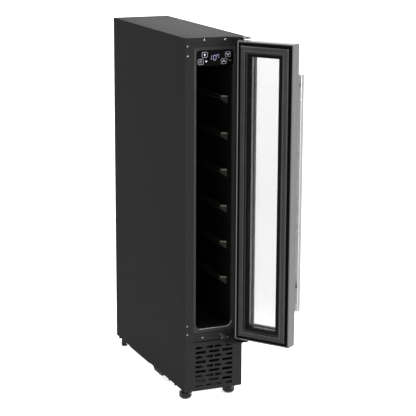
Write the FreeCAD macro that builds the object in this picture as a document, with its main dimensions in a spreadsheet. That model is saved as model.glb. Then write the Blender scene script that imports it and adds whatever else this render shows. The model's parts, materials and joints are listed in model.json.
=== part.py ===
"""Slim built-in wine cooler with a glass door, modelled in millimetres.

The origin is the centre of the carcass's underside: +X to the right as seen from the front,
+Y to the rear, +Z up. The feet reach below the origin. The door is modelled shut and then
turned open about its hinge pins, because it stands open at rest.
"""
import FreeCAD, Part
import math
import os
import re

DIMENSIONS = {
    # carcass skin and front flanges
    "cab_width": 148.0,
    "cab_depth": 485.0,
    "cab_height": 848.0,
    "skin": 1.0,
    "side_flange": 21.0,
    "top_flange": 21.3,
    "mitre_line": 0.5,
    "fit_gap": 0.2,
    # rail under the mouth and the kick grille
    "rail_low": 124.4,
    "rail_high": 145.7,
    "rail_lip": 20.0,
    "grille_high": 122.2,
    "grille_thick": 1.2,
    "grille_corner": 5.0,
    "slot_height": 6.2,
    "slot_tip": 1.6,
    "slot_first": 12.7,
    "slot_pitch": 11.9,
    "long_slot": 27.8,
    "long_slot_pitch": 34.6,
    "long_slot_shift": 1.0,
    "short_slot": 20.4,
    "short_gap": 5.3,
    "slot_thick_end": 10.8,
    "slot_taper": 9.8,
    "slot_right": 49.0,
    "slot_left": 47.0,
    # mouth of the cold compartment
    "mouth_width": 93.0,
    "mouth_low": 153.7,
    "mouth_high": 818.5,
    "mouth_top_radius": 8.0,
    "mouth_bottom_radius": 15.0,
    "mouth_outer_radius": 2.0,
    "band_width": 104.4,
    "band_low": 146.6,
    "band_high": 825.9,
    "band_set_back": 0.3,
    "band_slope": 1.0,
    "mouth_depth": 10.0,
    # liner and its step over the compressor
    "liner_thick": 1.5,
    "liner_gap": 0.3,
    "liner_rear": 190.0,
    "step_front": 80.0,
    "step_high": 240.0,
    "ceiling_low": 146.2,
    "ceiling_high": 228.0,
    "riser_front": 95.0,
    # bottle ledges
    "ledge_first": 267.5,
    "ledge_pitch": 87.66,
    "ledge_reach": 13.5,
    "ledge_nose": 9.0,
    "ledge_height": 20.0,
    "ledge_front": 34.0,
    "ledge_length": 348.0,
    "ledge_slant": 9.5,
    # control panel, its housing and the lamp
    "panel_low": 782.0,
    "panel_high": 817.6,
    "panel_half": 45.6,
    "panel_front": 2.5,
    "panel_thick": 7.5,
    "housing_depth": 62.0,
    "housing_wall": 1.6,
    "board_thick": 1.6,
    "board_set_back": 3.0,
    "lamp_half": 30.0,
    "lamp_height": 2.5,
    "lamp_front": 12.0,
    "lamp_rear": 42.0,
    # cold air side
    "cover_front": 148.0,
    "cover_thick": 2.0,
    "cover_high": 780.0,
    "cover_vent_pitch": 11.0,
    "cover_vent_height": 5.0,
    "fan_vent_half": 24.0,
    "return_vent_half": 30.0,
    "return_vent_rise": 14.0,
    "cold_fan_level": 690.0,
    "cold_fan_radius": 34.0,
    "cold_fan_front": 154.0,
    "cold_fan_depth": 11.0,
    "cold_hub_radius": 12.0,
    "cold_motor_radius": 17.0,
    "cold_motor_gap": 3.0,
    "shaft_radius": 1.5,
    "shaft_clearance": 0.05,
    "shaft_inset": 1.0,
    "vane_thick": 1.4,
    "coil_half": 38.0,
    "coil_front": 158.0,
    "coil_depth": 26.0,
    "coil_low": 300.0,
    "coil_fin_pitch": 20.0,
    "coil_tube_radius": 4.0,
    "coil_tube_pitch": 25.0,
    "coil_tube_over": 10.0,
    "fin_thick": 0.8,
    # machine room: warm side behind the kick grille
    "warm_coil_half": 60.0,
    "warm_coil_front": 28.0,
    "warm_coil_depth": 36.0,
    "warm_coil_low": 18.0,
    "warm_coil_high": 112.0,
    "warm_fin_pitch": 10.0,
    "warm_tube_radius": 3.2,
    "warm_tube_pitch": 18.0,
    "warm_tube_first": 12.0,
    "warm_tube_over": 5.0,
    "shroud_front": 80.0,
    "shroud_half": 66.0,
    "shroud_high": 120.0,
    "shroud_hole_gap": 3.0,
    "warm_fan_level": 60.0,
    "warm_fan_radius": 43.0,
    "warm_fan_front": 90.0,
    "warm_fan_depth": 18.0,
    "warm_hub_radius": 15.0,
    "warm_motor_radius": 21.0,
    "warm_motor_depth": 24.0,
    "warm_motor_gap": 4.0,
    "bracket_half": 63.0,
    "bracket_bar": 8.0,
    "bracket_set_back": 8.0,
    "bracket_thick": 3.0,
    # machine room: compressor and what stands on or beside it
    "pump_y": 150.0,
    "pump_radius": 50.0,
    "pump_low": 30.0,
    "pump_high": 142.0,
    "pump_dome": 18.0,
    "pump_dome_radius": 30.0,
    "pump_base_radius": 37.5,
    "pump_plate_half": 60.0,
    "pump_plate_low": 12.0,
    "pump_plate_thick": 3.0,
    "pump_mount_reach": 50.0,
    "pump_mount_radius": 8.0,
    "terminal_left": 40.0,
    "terminal_right": 64.0,
    "terminal_half": 16.0,
    "terminal_low": 72.0,
    "terminal_high": 104.0,
    "tray_half": 42.0,
    "tray_low": 166.0,
    "tray_high": 184.0,
    "tray_wall": 1.5,
    "tray_leg_radius": 25.0,
    "drain_x": 25.0,
    "drain_y": 130.0,
    "drain_radius": 5.0,
    "drain_bore": 3.5,
    "drain_low": 172.0,
    "drier_x": -56.0,
    "drier_y": 60.0,
    "drier_radius": 9.0,
    "drier_low": 56.0,
    "drier_length": 70.0,
    "drier_end": 10.0,
    "pipe_radius": 3.0,
    "pipe_bend": 3.8,
    "pipe_lane": 69.0,
    "hot_level": 124.0,
    "box_left": 14.0,
    "box_right": 66.0,
    "box_front": -70.0,
    "box_rear": 30.0,
    "box_low": 8.0,
    "box_high": 70.0,
    "box_wall": 2.0,
    "box_foot_inset": 8.0,
    "board_stand": 4.0,
    "lid_thick": 1.5,
    "gland_x": -45.0,
    "gland_level": 60.0,
    "gland_radius": 7.0,
    "gland_flange": 10.0,
    "gland_flange_thick": 3.0,
    "gland_inside": 12.0,
    "gland_bore": 3.6,
    # base, feet and rear covers
    "base_thick": 2.0,
    "base_edge": 12.0,
    "base_inset": 3.0,
    "well_half": 58.0,
    "well_front": -95.5,
    "well_rear": -26.5,
    "well_depth": 8.0,
    "runner_front": -12.5,
    "runner_rear": 173.5,
    "runner_width": 10.0,
    "runner_depth": 2.5,
    "foot_x": 57.0,
    "foot_front": -202.5,
    "foot_rear": 229.0,
    "foot_radius": 15.5,
    "rear_foot_radius": 8.5,
    "foot_drop": 28.0,
    "foot_pad": 16.0,
    "foot_bevel": 5.0,
    "rear_foot_bevel": 2.0,
    "foot_neck_radius": 8.0,
    "foot_neck": 8.0,
    "stud_radius": 3.95,
    "stud_top": 16.0,
    "thread_bore": 4.0,
    "nut_radius": 7.5,
    "nut_height": 7.0,
    "rear_sheet": 1.0,
    "rear_inset": 1.0,
    "rear_join": 229.0,
    "vent_first": 90.0,
    "vent_pitch": 16.0,
    "vent_height": 5.0,
    "vent_half": 55.0,
    # hinges
    "door_gap": 6.0,
    "pin_x": 63.0,
    "pin_reach": 24.0,
    "pin_radius": 4.0,
    "pin_length": 26.0,
    "pin_fit": 0.05,
    "press_fit": 0.02,
    "top_leaf_low": 845.5,
    "top_leaf_left": 26.0,
    "low_leaf_low": 121.0,
    "low_leaf_high": 124.0,
    "low_leaf_left": 14.0,
    "leaf_thick": 2.0,
    "leaf_right": 73.0,
    "leaf_flange_left": 64.5,
    "leaf_nose": 15.5,
    "leaf_corner": 3.0,
    "top_leaf_waist": 54.0,
    "top_leaf_waist_reach": 17.0,
    "top_leaf_neck": 57.0,
    "top_leaf_neck_reach": 28.0,
    "top_leaf_nose_left": 61.5,
    "low_leaf_edge": 22.0,
    "top_leaf_drop": 797.0,
    "low_leaf_climb": 174.0,
    "low_leaf_face": 138.0,
    "washer_radius": 7.0,
    "washer_gap": 0.3,
    "screw_head_radius": 2.5,
    "screw_head": 1.4,
    "screw_shank": 1.5,
    "screw_hole": 1.7,
    "screw_length": 6.0,
    "flange_screw_x": 69.0,
    "side_screw_1": 829.0,
    "side_screw_2": 807.0,
    "side_screw_3": 165.6,
    "side_screw_4": 144.4,
    "top_screw_left": -28.5,
    "top_screw_right": 24.0,
    "top_screw_level": 842.0,
    "rail_screw_left": -29.5,
    "rail_screw_left_level": 133.0,
    "rail_screw_inner": 21.0,
    "rail_screw_outer": 35.5,
    "rail_screw_level": 127.0,
    # door
    "door_width": 144.0,
    "door_thick": 28.5,
    "door_low": 130.0,
    "door_high": 841.0,
    "door_sheet": 1.2,
    "door_lip": 2.8,
    "window_border": 37.2,
    "frame_inner": 34.4,
    "frame_plate_front": 8.0,
    "frame_plate_rear": 4.0,
    "frame_wall": 2.0,
    "rim_width": 6.9,
    "rim_rise": 3.0,
    "seal_outer": 11.0,
    "seal_rise": 5.7,
    "seal_body": 4.0,
    "seal_bulb": 22.6,
    "seal_root": 1.5,
    "seal_root_inset": 2.0,
    "pane_edge": 27.0,
    "inner_pane_rear": 8.2,
    "inner_pane_thick": 2.8,
    "outer_pane_rear": 20.3,
    "outer_pane_thick": 4.0,
    "spacer_set_in": 1.0,
    "spacer_inner": 33.5,
    "bead_edge": 37.0,
    "bush_radius": 6.5,
    "bush_depth": 21.0,
    "block_height": 34.0,
    "block_left": 50.0,
    # handle
    "grip_left": 5.5,
    "grip_width": 20.0,
    "grip_stand": 23.9,
    "grip_thick": 13.5,
    "grip_half": 281.0,
    "post_offset": 238.0,
    "post_height": 34.0,
    "post_inset": 1.0,
    "grip_screw_radius": 2.0,
    "grip_screw_length": 14.0,
    "grip_head": 2.4,
}
DOOR_OPEN_DEG = 126
LEDGES = 6
SLOT_ROWS = 9
VENT_ROWS = 9
COLD_FINS = 16
COLD_TUBES = (-1, 0, 1)
WARM_FINS = 13
WARM_TUBES = 5
COLD_BLADES = 7
WARM_BLADES = 5
BLADE_PITCH_DEG = 32
VANE_SPAN = 1.5  # vane width as a share of the hub's depth
VANE_ROOT = 0.8  # vane root as a share of the hub's radius

FRONT = "(-cab_depth/2)"
REAR = "(cab_depth/2)"
DOOR_BACK = "(-cab_depth/2 - door_gap)"
DOOR_FACE = "(-cab_depth/2 - door_gap - door_thick)"
DOOR_MIDDLE = "((door_low + door_high)/2)"
PIN_Y = "(-cab_depth/2 - pin_reach)"
CAVITY = "(cab_width/2 - skin - fit_gap)"

doc = FreeCAD.newDocument("wine_cooler")
sheet = doc.addObject("Spreadsheet::Sheet", "Dims")
for row, (alias, number) in enumerate(DIMENSIONS.items(), start=1):
    sheet.set(f"A{row}", alias)
    sheet.set(f"B{row}", str(number))
    sheet.setAlias(f"B{row}", alias)
doc.recompute()

X_AXIS = FreeCAD.Vector(1, 0, 0)
Y_AXIS = FreeCAD.Vector(0, 1, 0)
Z_AXIS = FreeCAD.Vector(0, 0, 1)
TURN = {
    "x": FreeCAD.Rotation(Y_AXIS, 90),
    "y": FreeCAD.Rotation(X_AXIS, -90),
    "z": FreeCAD.Rotation(),
}
PIN = FreeCAD.Vector(
    DIMENSIONS["pin_x"], -DIMENSIONS["cab_depth"] / 2 - DIMENSIONS["pin_reach"], 0
)
SHUT = FreeCAD.Placement()
OPEN = FreeCAD.Placement(
    FreeCAD.Vector(), FreeCAD.Rotation(Z_AXIS, DOOR_OPEN_DEG), PIN
)
nodes = []


# ---------------------------------------------------------------- helpers


def bind(obj, prop, formula):
    """Drives one property from the sheet. Every word in a formula is one of the sheet's names."""
    obj.setExpression(
        prop, re.sub(r"[a-z]\w*", lambda word: "Dims." + word.group(), str(formula))
    )


def place(obj, at):
    for axis, formula in zip("xyz", at):
        bind(obj, f"Placement.Base.{axis}", formula)


def box(x, y, z):
    """A box from spans: each span is its low and high formula."""
    obj = doc.addObject("Part::Box", "block")
    for prop, (low, high) in zip(("Length", "Width", "Height"), (x, y, z)):
        bind(obj, prop, f"({high}) - ({low})")
    place(obj, (x[0], y[0], z[0]))
    return obj


def centred(half):
    return (f"-({half})", f"({half})")


def beside(side, outside, width):
    """The span of a strip just inside a distance from the middle: side is -1 left or 1 right."""
    if side < 0:
        return (f"-({outside})", f"-({outside}) + {width}")
    return (f"{outside} - ({width})", f"{outside}")


def cylinder(axis, at, radius, length):
    obj = doc.addObject("Part::Cylinder", "round_bar")
    obj.Placement.Rotation = TURN[axis]
    bind(obj, "Radius", radius)
    bind(obj, "Height", length)
    place(obj, at)
    return obj


def cone(at, radius_low, radius_high, height):
    obj = doc.addObject("Part::Cone", "taper")
    bind(obj, "Radius1", radius_low)
    bind(obj, "Radius2", radius_high)
    bind(obj, "Height", height)
    place(obj, at)
    return obj


def prism(name, count, at, radius, height):
    obj = doc.addObject("Part::Prism", name)
    obj.Polygon = count
    bind(obj, "Circumradius", radius)
    bind(obj, "Height", height)
    place(obj, at)
    return obj


def fuse(*parts):
    obj = doc.addObject("Part::MultiFuse", "joined")
    obj.Shapes = list(parts)
    obj.Refine = True
    return obj


def cut(base, *tools):
    tool = tools[0]
    if len(tools) > 1:
        tool = doc.addObject("Part::Compound", "cutters")
        tool.Links = list(tools)
    obj = doc.addObject("Part::Cut", "trimmed")
    obj.Base = base
    obj.Tool = tool
    return obj


def node(name, *pieces, pose=SHUT):
    """One named sub-part: a piece, or several identical pieces, at its place in the cooler."""
    obj = doc.addObject("Part::Compound", name)
    obj.Label = name
    obj.Links = list(pieces)
    obj.Placement = pose
    nodes.append(obj)
    return obj


def ring(inset_outer, inset_inner, y):
    """A rectangular ring in the door's plane, between two insets from the door's edge."""
    spans = []
    for inset in (inset_outer, inset_inner):
        across = centred(f"door_width/2 - ({inset})")
        spans.append((across, (f"door_low + {inset}", f"door_high - ({inset})")))
    (outer_x, outer_z), (inner_x, inner_z) = spans
    through = (f"{y[0]} - skin", f"{y[1]} + skin")
    return cut(box(outer_x, y, outer_z), box(inner_x, through, inner_z))


def screw(x, y, z):
    """A pan-head screw driven along +Y: y is the surface that its head sits on."""
    head = cylinder("y", (x, f"{y} - screw_head", z), "screw_head_radius", "screw_head")
    shank = cylinder("y", (x, y, z), "screw_shank", "screw_length")
    return fuse(head, shank)


def screw_hole(x, y, z):
    return cylinder("y", (x, f"{y} - skin", z), "screw_hole", "screw_length")


def size(name):
    return DIMENSIONS[name]


def rounded_outline(y, half, low, high, low_radius, high_radius):
    """A closed outline in a plane of constant Y, with round corners, as one wire."""
    corners = [
        (half, low, low_radius, -90),
        (half, high, high_radius, 0),
        (-half, high, high_radius, 90),
        (-half, low, low_radius, 180),
    ]
    arcs = []
    for x, z, radius, start in corners:
        centre_x = x - math.copysign(radius, x)
        centre_z = z + radius if z == low else z - radius
        points = []
        for angle in (start, start + 45, start + 90):
            turn = math.radians(angle)
            points.append(
                FreeCAD.Vector(
                    centre_x + radius * math.cos(turn),
                    y,
                    centre_z + radius * math.sin(turn),
                )
            )
        arcs.append(points)
    edges = []
    for here, after in zip(arcs, arcs[1:] + arcs[:1]):
        edges.append(Part.Arc(*here).toShape())
        edges.append(Part.LineSegment(here[2], after[0]).toShape())
    return Part.Wire(edges)


def pipe(name, route):
    """A bent metal pipe: straight runs joined by tangent arcs of one bend radius."""
    bend = size("pipe_bend")
    points = [FreeCAD.Vector(*point) for point in route]
    edges = []
    start = points[0]
    for before, corner, after in zip(points, points[1:], points[2:]):
        into = (corner - before).normalize()
        out = (after - corner).normalize()
        turn = into.getAngle(out)
        trim = bend * math.tan(turn / 2)
        first = corner - into * trim
        last = corner + out * trim
        inward = (out - into).normalize()
        middle = corner + inward * (bend / math.cos(turn / 2) - bend)
        edges.append(Part.LineSegment(start, first).toShape())
        edges.append(Part.Arc(first, middle, last).toShape())
        start = last
    edges.append(Part.LineSegment(start, points[-1]).toShape())
    spine = Part.Wire(edges)
    section = Part.Wire(
        [Part.Circle(points[0], points[1] - points[0], size("pipe_radius")).toShape()]
    )
    obj = doc.addObject("Part::Feature", name)
    obj.Shape = spine.makePipeShell([section], True, False)
    return obj


def sketched_plate(name, outline, low, thickness):
    """A flat plate padded upwards from its outline: a list of (x, y) points, or an arc's three."""
    body = doc.addObject("PartDesign::Body", name)
    drawing = body.newObject("Sketcher::SketchObject", name + "_outline")
    plane = [
        item for item in body.Origin.OriginFeatures if item.Role == "XY_Plane"
    ]
    drawing.AttachmentSupport = [(plane[0], "")]
    drawing.MapMode = "FlatFace"
    bind(drawing, "AttachmentOffset.Base.z", low)
    for points in outline:
        vectors = [FreeCAD.Vector(x, y, 0) for x, y in points]
        if len(vectors) == 3:
            drawing.addGeometry(Part.Arc(*vectors), False)
        else:
            drawing.addGeometry(Part.LineSegment(*vectors), False)
    pad = body.newObject("PartDesign::Pad", name + "_pad")
    pad.Profile = drawing
    bind(pad, "Length", thickness)
    body.Tip = pad
    return body


# ---------------------------------------------------------------- carcass


def flange_screw_places():
    side = ("side_screw_1", "side_screw_2", "side_screw_3", "side_screw_4")
    return {
        "spare": [("-flange_screw_x", level) for level in side]
        + [("top_screw_left", "top_screw_level"), ("top_screw_right", "top_screw_level")],
        "hinge_top": [("flange_screw_x", level) for level in side[:2]],
        "hinge_low": [("flange_screw_x", level) for level in side[2:]],
        "rail_spare": [("rail_screw_left", "rail_screw_left_level")],
        "rail_hinge": [
            ("rail_screw_inner", "rail_screw_level"),
            ("rail_screw_outer", "rail_screw_level"),
        ],
    }


def carcass():
    half = "cab_width/2"
    outside = box(centred(half), (FRONT, REAR), ("0", "cab_height"))
    inside = box(
        centred(f"{half} - skin"),
        (f"{FRONT} + skin", f"{REAR} + skin"),
        ("-skin", "cab_height - skin"),
    )
    mouth = box(
        centred(f"{half} - side_flange"),
        (f"{FRONT} - skin", f"{FRONT} + 2*skin"),
        ("-skin", "cab_height - top_flange"),
    )
    foot_of_front = box(
        centred(f"{half} + skin"),
        (f"{FRONT} - skin", f"{FRONT} + grille_thick + fit_gap"),
        ("-skin", "grille_high + fit_gap"),
    )
    mitres = []
    for side, angle in ((-1, -45), (1, 45)):
        groove = doc.addObject("Part::Box", "mitre_line")
        bind(groove, "Length", "mitre_line")
        bind(groove, "Width", "mitre_line")
        bind(groove, "Height", "top_flange*2")
        groove.Placement.Rotation = FreeCAD.Rotation(Y_AXIS, angle)
        corner = (f"{side}*(cab_width/2 - top_flange - fit_gap)", f"{FRONT} - mitre_line/2")
        place(groove, (*corner, "cab_height - top_flange"))
        mitres.append(groove)
    screws = flange_screw_places()
    drilled = screws["spare"] + screws["hinge_top"] + screws["hinge_low"]
    holes = [screw_hole(x, FRONT, z) for x, z in drilled]
    node("cabinet_wrapper", cut(outside, inside, mouth, foot_of_front, *mitres, *holes))

    between = "(cab_width/2 - side_flange - fit_gap)"
    face = box(centred(between), (FRONT, f"{FRONT} + skin"), ("rail_low", "rail_high"))
    tabs = box(
        centred(CAVITY),
        (f"{FRONT} + skin", f"{FRONT} + 2*skin"),
        ("rail_low + 2*skin", "rail_high - 2*skin"),
    )
    ledge = box(
        centred(between),
        (FRONT, f"{FRONT} + rail_lip"),
        ("rail_high - skin", "rail_high"),
    )
    rail_screws = screws["rail_spare"] + screws["rail_hinge"]
    rail_holes = [screw_hole(x, FRONT, z) for x, z in rail_screws]
    tab_holes = [screw_hole(x, FRONT, z) for x, z in screws["hinge_low"][1:]]
    spare_tab = [screw_hole(x, FRONT, z) for x, z in screws["spare"][3:4]]
    rail = cut(fuse(face, tabs, ledge), *rail_holes, *tab_holes, *spare_tab)
    node("lower_front_rail", rail)

    spare = screws["spare"] + screws["rail_spare"]
    node("flange_screws", *[screw(x, FRONT, z) for x, z in spare])


def grille():
    plate = box(
        centred("cab_width/2"),
        (FRONT, f"{FRONT} + grille_thick"),
        ("fit_gap", "grille_high"),
    )
    corners = []
    for side in (-1, 1):
        edge = f"({side}*(cab_width/2 - grille_corner))"
        span = sorted((0, side))
        square = box(
            (f"{edge} + {span[0]}*grille_corner", f"{edge} + {span[1]}*grille_corner"),
            (f"{FRONT} - skin", f"{FRONT} + 2*skin"),
            ("fit_gap", "fit_gap + grille_corner"),
        )
        post = cylinder(
            "y",
            (edge, f"{FRONT} - 2*skin", "fit_gap + grille_corner"),
            "grille_corner",
            "5*skin",
        )
        corners.append(cut(square, post))
    through = (f"{FRONT} - skin", f"{FRONT} + grille_thick + skin")
    slots = []
    for row in range(SLOT_ROWS):
        level = f"(slot_first + {row}*slot_pitch)"
        if row % 2:
            for column in (-1, 0, 1):
                middle = f"(long_slot_shift + {column}*long_slot_pitch)"
                reach = "(long_slot/2 - slot_height/2)"
                slots.append(
                    box(
                        (f"{middle} - {reach}", f"{middle} + {reach}"),
                        through,
                        (f"{level} - slot_height/2", f"{level} + slot_height/2"),
                    )
                )
                for end in (-1, 1):
                    at = (f"{middle} + {end}*{reach}", through[0], level)
                    slots.append(cylinder("y", at, "slot_height/2", "grille_thick + 2*skin"))
        else:
            slots += tapered_slots(level, through)
    node("front_grille", cut(plate, *corners, *slots))


def tapered_slots(level, through):
    """Four short slots in a row, each thick at one end and narrowing to a slit at the other."""
    starts = (
        ("-slot_left", 1),
        ("-slot_left + short_slot + short_gap", -1),
        ("slot_right - 2*short_slot - short_gap", 1),
        ("slot_right - short_slot", -1),
    )
    slots = []
    for left, side in starts:
        thick_low = left if side > 0 else f"{left} + short_slot - slot_thick_end"
        slots.append(
            box(
                (thick_low, f"{thick_low} + slot_thick_end"),
                through,
                (f"{level} - slot_height/2", f"{level} + slot_height/2"),
            )
        )
        taper = doc.addObject("Part::Wedge", "slot_taper")
        taper.Placement.Rotation = FreeCAD.Rotation(Z_AXIS, -90 * side)
        bind(taper, "Xmin", "0")
        bind(taper, "Xmax", "grille_thick + 2*skin")
        bind(taper, "X2min", "0")
        bind(taper, "X2max", "grille_thick + 2*skin")
        bind(taper, "Ymin", "0")
        bind(taper, "Ymax", "slot_taper")
        bind(taper, "Zmin", "0")
        bind(taper, "Zmax", "slot_height")
        bind(taper, "Z2min", "(slot_height - slot_tip)/2")
        bind(taper, "Z2max", "(slot_height + slot_tip)/2")
        start = f"{left} + short_slot/2"
        depth = through[1] if side > 0 else through[0]
        place(taper, (start, depth, f"{level} - slot_height/2"))
        slots.append(taper)
    return slots


def mouth_frame():
    """The trim round the mouth: a band that slopes in a little, then a straight throat."""
    body = box(
        centred("cab_width/2 - side_flange - fit_gap"),
        (f"{FRONT} + band_set_back", f"{FRONT} + mouth_depth"),
        ("rail_high + fit_gap", "cab_height - top_flange - fit_gap"),
    )
    band_front = -size("cab_depth") / 2 + size("band_set_back")
    outer = rounded_outline(
        band_front,
        size("band_width") / 2,
        size("band_low"),
        size("band_high"),
        size("mouth_outer_radius"),
        size("mouth_outer_radius"),
    )
    inner = rounded_outline(
        band_front + size("band_slope"),
        size("mouth_width") / 2,
        size("mouth_low"),
        size("mouth_high"),
        size("mouth_bottom_radius"),
        size("mouth_top_radius"),
    )
    band = doc.addObject("Part::Feature", "band")
    band.Shape = Part.makeLoft([outer, inner], True, True)
    lead = doc.addObject("Part::Feature", "band_lead")
    lead.Shape = Part.Face(outer).extrude(FreeCAD.Vector(0, -size("skin"), 0))
    throat = doc.addObject("Part::Feature", "throat")
    throat.Shape = Part.Face(inner).extrude(FreeCAD.Vector(0, size("mouth_depth"), 0))
    node("mouth_trim_frame", cut(body, band, lead, throat))


def step_outline(grow):
    """The cold space with its step over the compressor, grown outwards by a formula."""
    whole = box(
        centred(f"mouth_width/2 + {grow}"),
        (f"{FRONT} + mouth_depth + liner_gap", f"liner_rear + {grow}"),
        (f"mouth_low - ({grow})", f"mouth_high + {grow}"),
    )
    step = box(
        centred("mouth_width"),
        (f"step_front + {grow}", "liner_rear*2"),
        ("0", f"step_high - ({grow})"),
    )
    return cut(whole, step)


def cold_space():
    drain = cylinder("z", ("drain_x", "drain_y", "ceiling_low"), "drain_bore", "step_high")
    hollow_front = box(
        centred("mouth_width/2"),
        (f"{FRONT} + mouth_depth - skin", f"{FRONT} + mouth_depth + 2*skin"),
        ("mouth_low", "mouth_high"),
    )
    node("liner", cut(step_outline("liner_thick"), step_outline("0"), hollow_front, drain))

    block = box(
        centred(CAVITY),
        (f"{FRONT} + mouth_depth + liner_gap", f"{REAR} - rear_inset - rear_sheet - fit_gap"),
        ("ceiling_low + skin + fit_gap", "cab_height - skin - fit_gap"),
    )
    under = box(
        centred("cab_width"),
        ("riser_front - fit_gap", f"{REAR} + skin"),
        ("0", "ceiling_high + skin + fit_gap"),
    )
    core = step_outline("liner_thick + fit_gap")
    drain_way = cylinder(
        "z", ("drain_x", "drain_y", "ceiling_low"), "drain_radius + fit_gap", "cab_depth"
    )
    lid = box(
        centred("mouth_width/2 - fit_gap"),
        ("step_front", "liner_rear"),
        ("step_high", "mouth_high"),
    )
    node("insulation_foam", cut(block, under, core, cut(drain_way, lid)))

    drop = ("riser_front", "riser_front + skin")
    low_sheet = box(
        centred(CAVITY),
        (f"{FRONT} + rail_lip + skin", "riser_front + skin"),
        ("ceiling_low", "ceiling_low + skin"),
    )
    riser = box(centred(CAVITY), drop, ("ceiling_low", "ceiling_high + skin"))
    high_sheet = box(
        centred(CAVITY),
        ("riser_front", f"{REAR} - rear_inset - rear_sheet - fit_gap"),
        ("ceiling_high", "ceiling_high + skin"),
    )
    way = cylinder(
        "z", ("drain_x", "drain_y", "ceiling_low"), "drain_radius + fit_gap", "ceiling_high"
    )
    node("machine_room_ceiling", cut(fuse(low_sheet, riser, high_sheet), way))

    tube = cylinder(
        "z",
        ("drain_x", "drain_y", "drain_low"),
        "drain_radius",
        "step_high - liner_thick - drain_low",
    )
    bore = cylinder("z", ("drain_x", "drain_y", "0"), "drain_bore", "step_high")
    node("drain_tube", cut(tube, bore))


def ledge(side, index):
    """A bottle ledge: flat on top, with slanting ends, a short nose and a sloping underside."""
    obj = doc.addObject("Part::Wedge", "ledge")
    obj.Placement.Rotation = FreeCAD.Rotation(Z_AXIS, 90 * side)
    bind(obj, "Xmin", "0")
    bind(obj, "Xmax", "ledge_length")
    bind(obj, "X2min", "ledge_slant")
    bind(obj, "X2max", "ledge_length - ledge_slant")
    bind(obj, "Ymin", "0")
    bind(obj, "Ymax", "ledge_reach")
    bind(obj, "Zmin", "0")
    bind(obj, "Zmax", "ledge_height")
    bind(obj, "Z2min", "ledge_height - ledge_nose")
    bind(obj, "Z2max", "ledge_height")
    start = f"{FRONT} + ledge_front" if side > 0 else f"{FRONT} + ledge_front + ledge_length"
    level = f"ledge_first + {index}*ledge_pitch - ledge_height"
    place(obj, (f"{side}*mouth_width/2", start, level))
    return obj


def ledges():
    for name, side in (("left", -1), ("right", 1)):
        node(f"bottle_ledges_{name}", *[ledge(side, index) for index in range(LEDGES)])


def controls():
    face = box(
        centred("panel_half"),
        (f"{FRONT} + panel_front", f"{FRONT} + panel_front + panel_thick"),
        ("panel_low", "panel_high"),
    )
    trims = []
    for side in (-1, 1):
        centre = f"({side}*(panel_half - mouth_top_radius))"
        span = sorted((0, side))
        square = box(
            (
                f"{centre} + {span[0]}*mouth_top_radius",
                f"{centre} + {span[1]}*mouth_top_radius",
            ),
            (f"{FRONT} + panel_front - skin", f"{FRONT} + mouth_depth + skin"),
            ("panel_high - mouth_top_radius", "panel_high + skin"),
        )
        round_end = cylinder(
            "y",
            (centre, f"{FRONT} + panel_front - 2*skin", "panel_high - mouth_top_radius"),
            "mouth_top_radius",
            "panel_thick + 5*skin",
        )
        trims.append(cut(square, round_end))
    node("control_panel", cut(face, *trims))

    shell_y = (f"{FRONT} + mouth_depth + fit_gap", f"{FRONT} + mouth_depth + housing_depth")
    shell = box(centred("panel_half"), shell_y, ("panel_low", "panel_high"))
    hollow = box(
        centred("panel_half - housing_wall"),
        (f"{FRONT} + mouth_depth - skin", f"{shell_y[1]} - housing_wall"),
        ("panel_low + housing_wall", "panel_high - housing_wall"),
    )
    node("control_housing", cut(shell, hollow))
    board_y = f"{FRONT} + mouth_depth + board_set_back"
    node(
        "control_board",
        box(
            centred("panel_half - housing_wall - fit_gap"),
            (board_y, f"{board_y} + board_thick"),
            ("panel_low + housing_wall + fit_gap", "panel_high - housing_wall - fit_gap"),
        ),
    )
    node(
        "interior_lamp",
        box(
            centred("lamp_half"),
            (f"{FRONT} + mouth_depth + lamp_front", f"{FRONT} + mouth_depth + lamp_rear"),
            ("panel_low - lamp_height", "panel_low"),
        ),
    )


# ---------------------------------------------------------------- cold and warm machinery


def impeller(front, level, depth, hub, radius, blades):
    """A hub with flat pitched blades, turning about Y: front and level place it in the cooler."""
    boss = cylinder("y", ("0", "0", "0"), hub, depth)
    parts = [boss]
    for blade in range(blades):
        vane = doc.addObject("Part::Box", "vane")
        bind(vane, "Length", f"{depth}*{VANE_SPAN}")
        bind(vane, "Width", "vane_thick")
        bind(vane, "Height", f"{radius} - {hub}*{VANE_ROOT}")
        turn = FreeCAD.Rotation(Y_AXIS, 360 * blade / blades)
        rotation = turn.multiply(FreeCAD.Rotation(Z_AXIS, BLADE_PITCH_DEG))
        corner = FreeCAD.Vector(
            -size(depth) * VANE_SPAN / 2, -size("vane_thick") / 2, size(hub) * VANE_ROOT
        )
        middle = FreeCAD.Vector(0, size(depth) / 2, 0)
        vane.Placement = FreeCAD.Placement(middle + rotation.multVec(corner), rotation)
        parts.append(vane)
    bore_radius = "shaft_radius + shaft_clearance"
    bore = cylinder("y", ("0", "-skin", "0"), bore_radius, f"{depth} + 2*skin")
    wheel = doc.addObject("Part::Compound", "wheel")
    wheel.Links = [cut(fuse(*parts), bore)]
    place(wheel, ("0", front, level))
    return wheel


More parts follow.
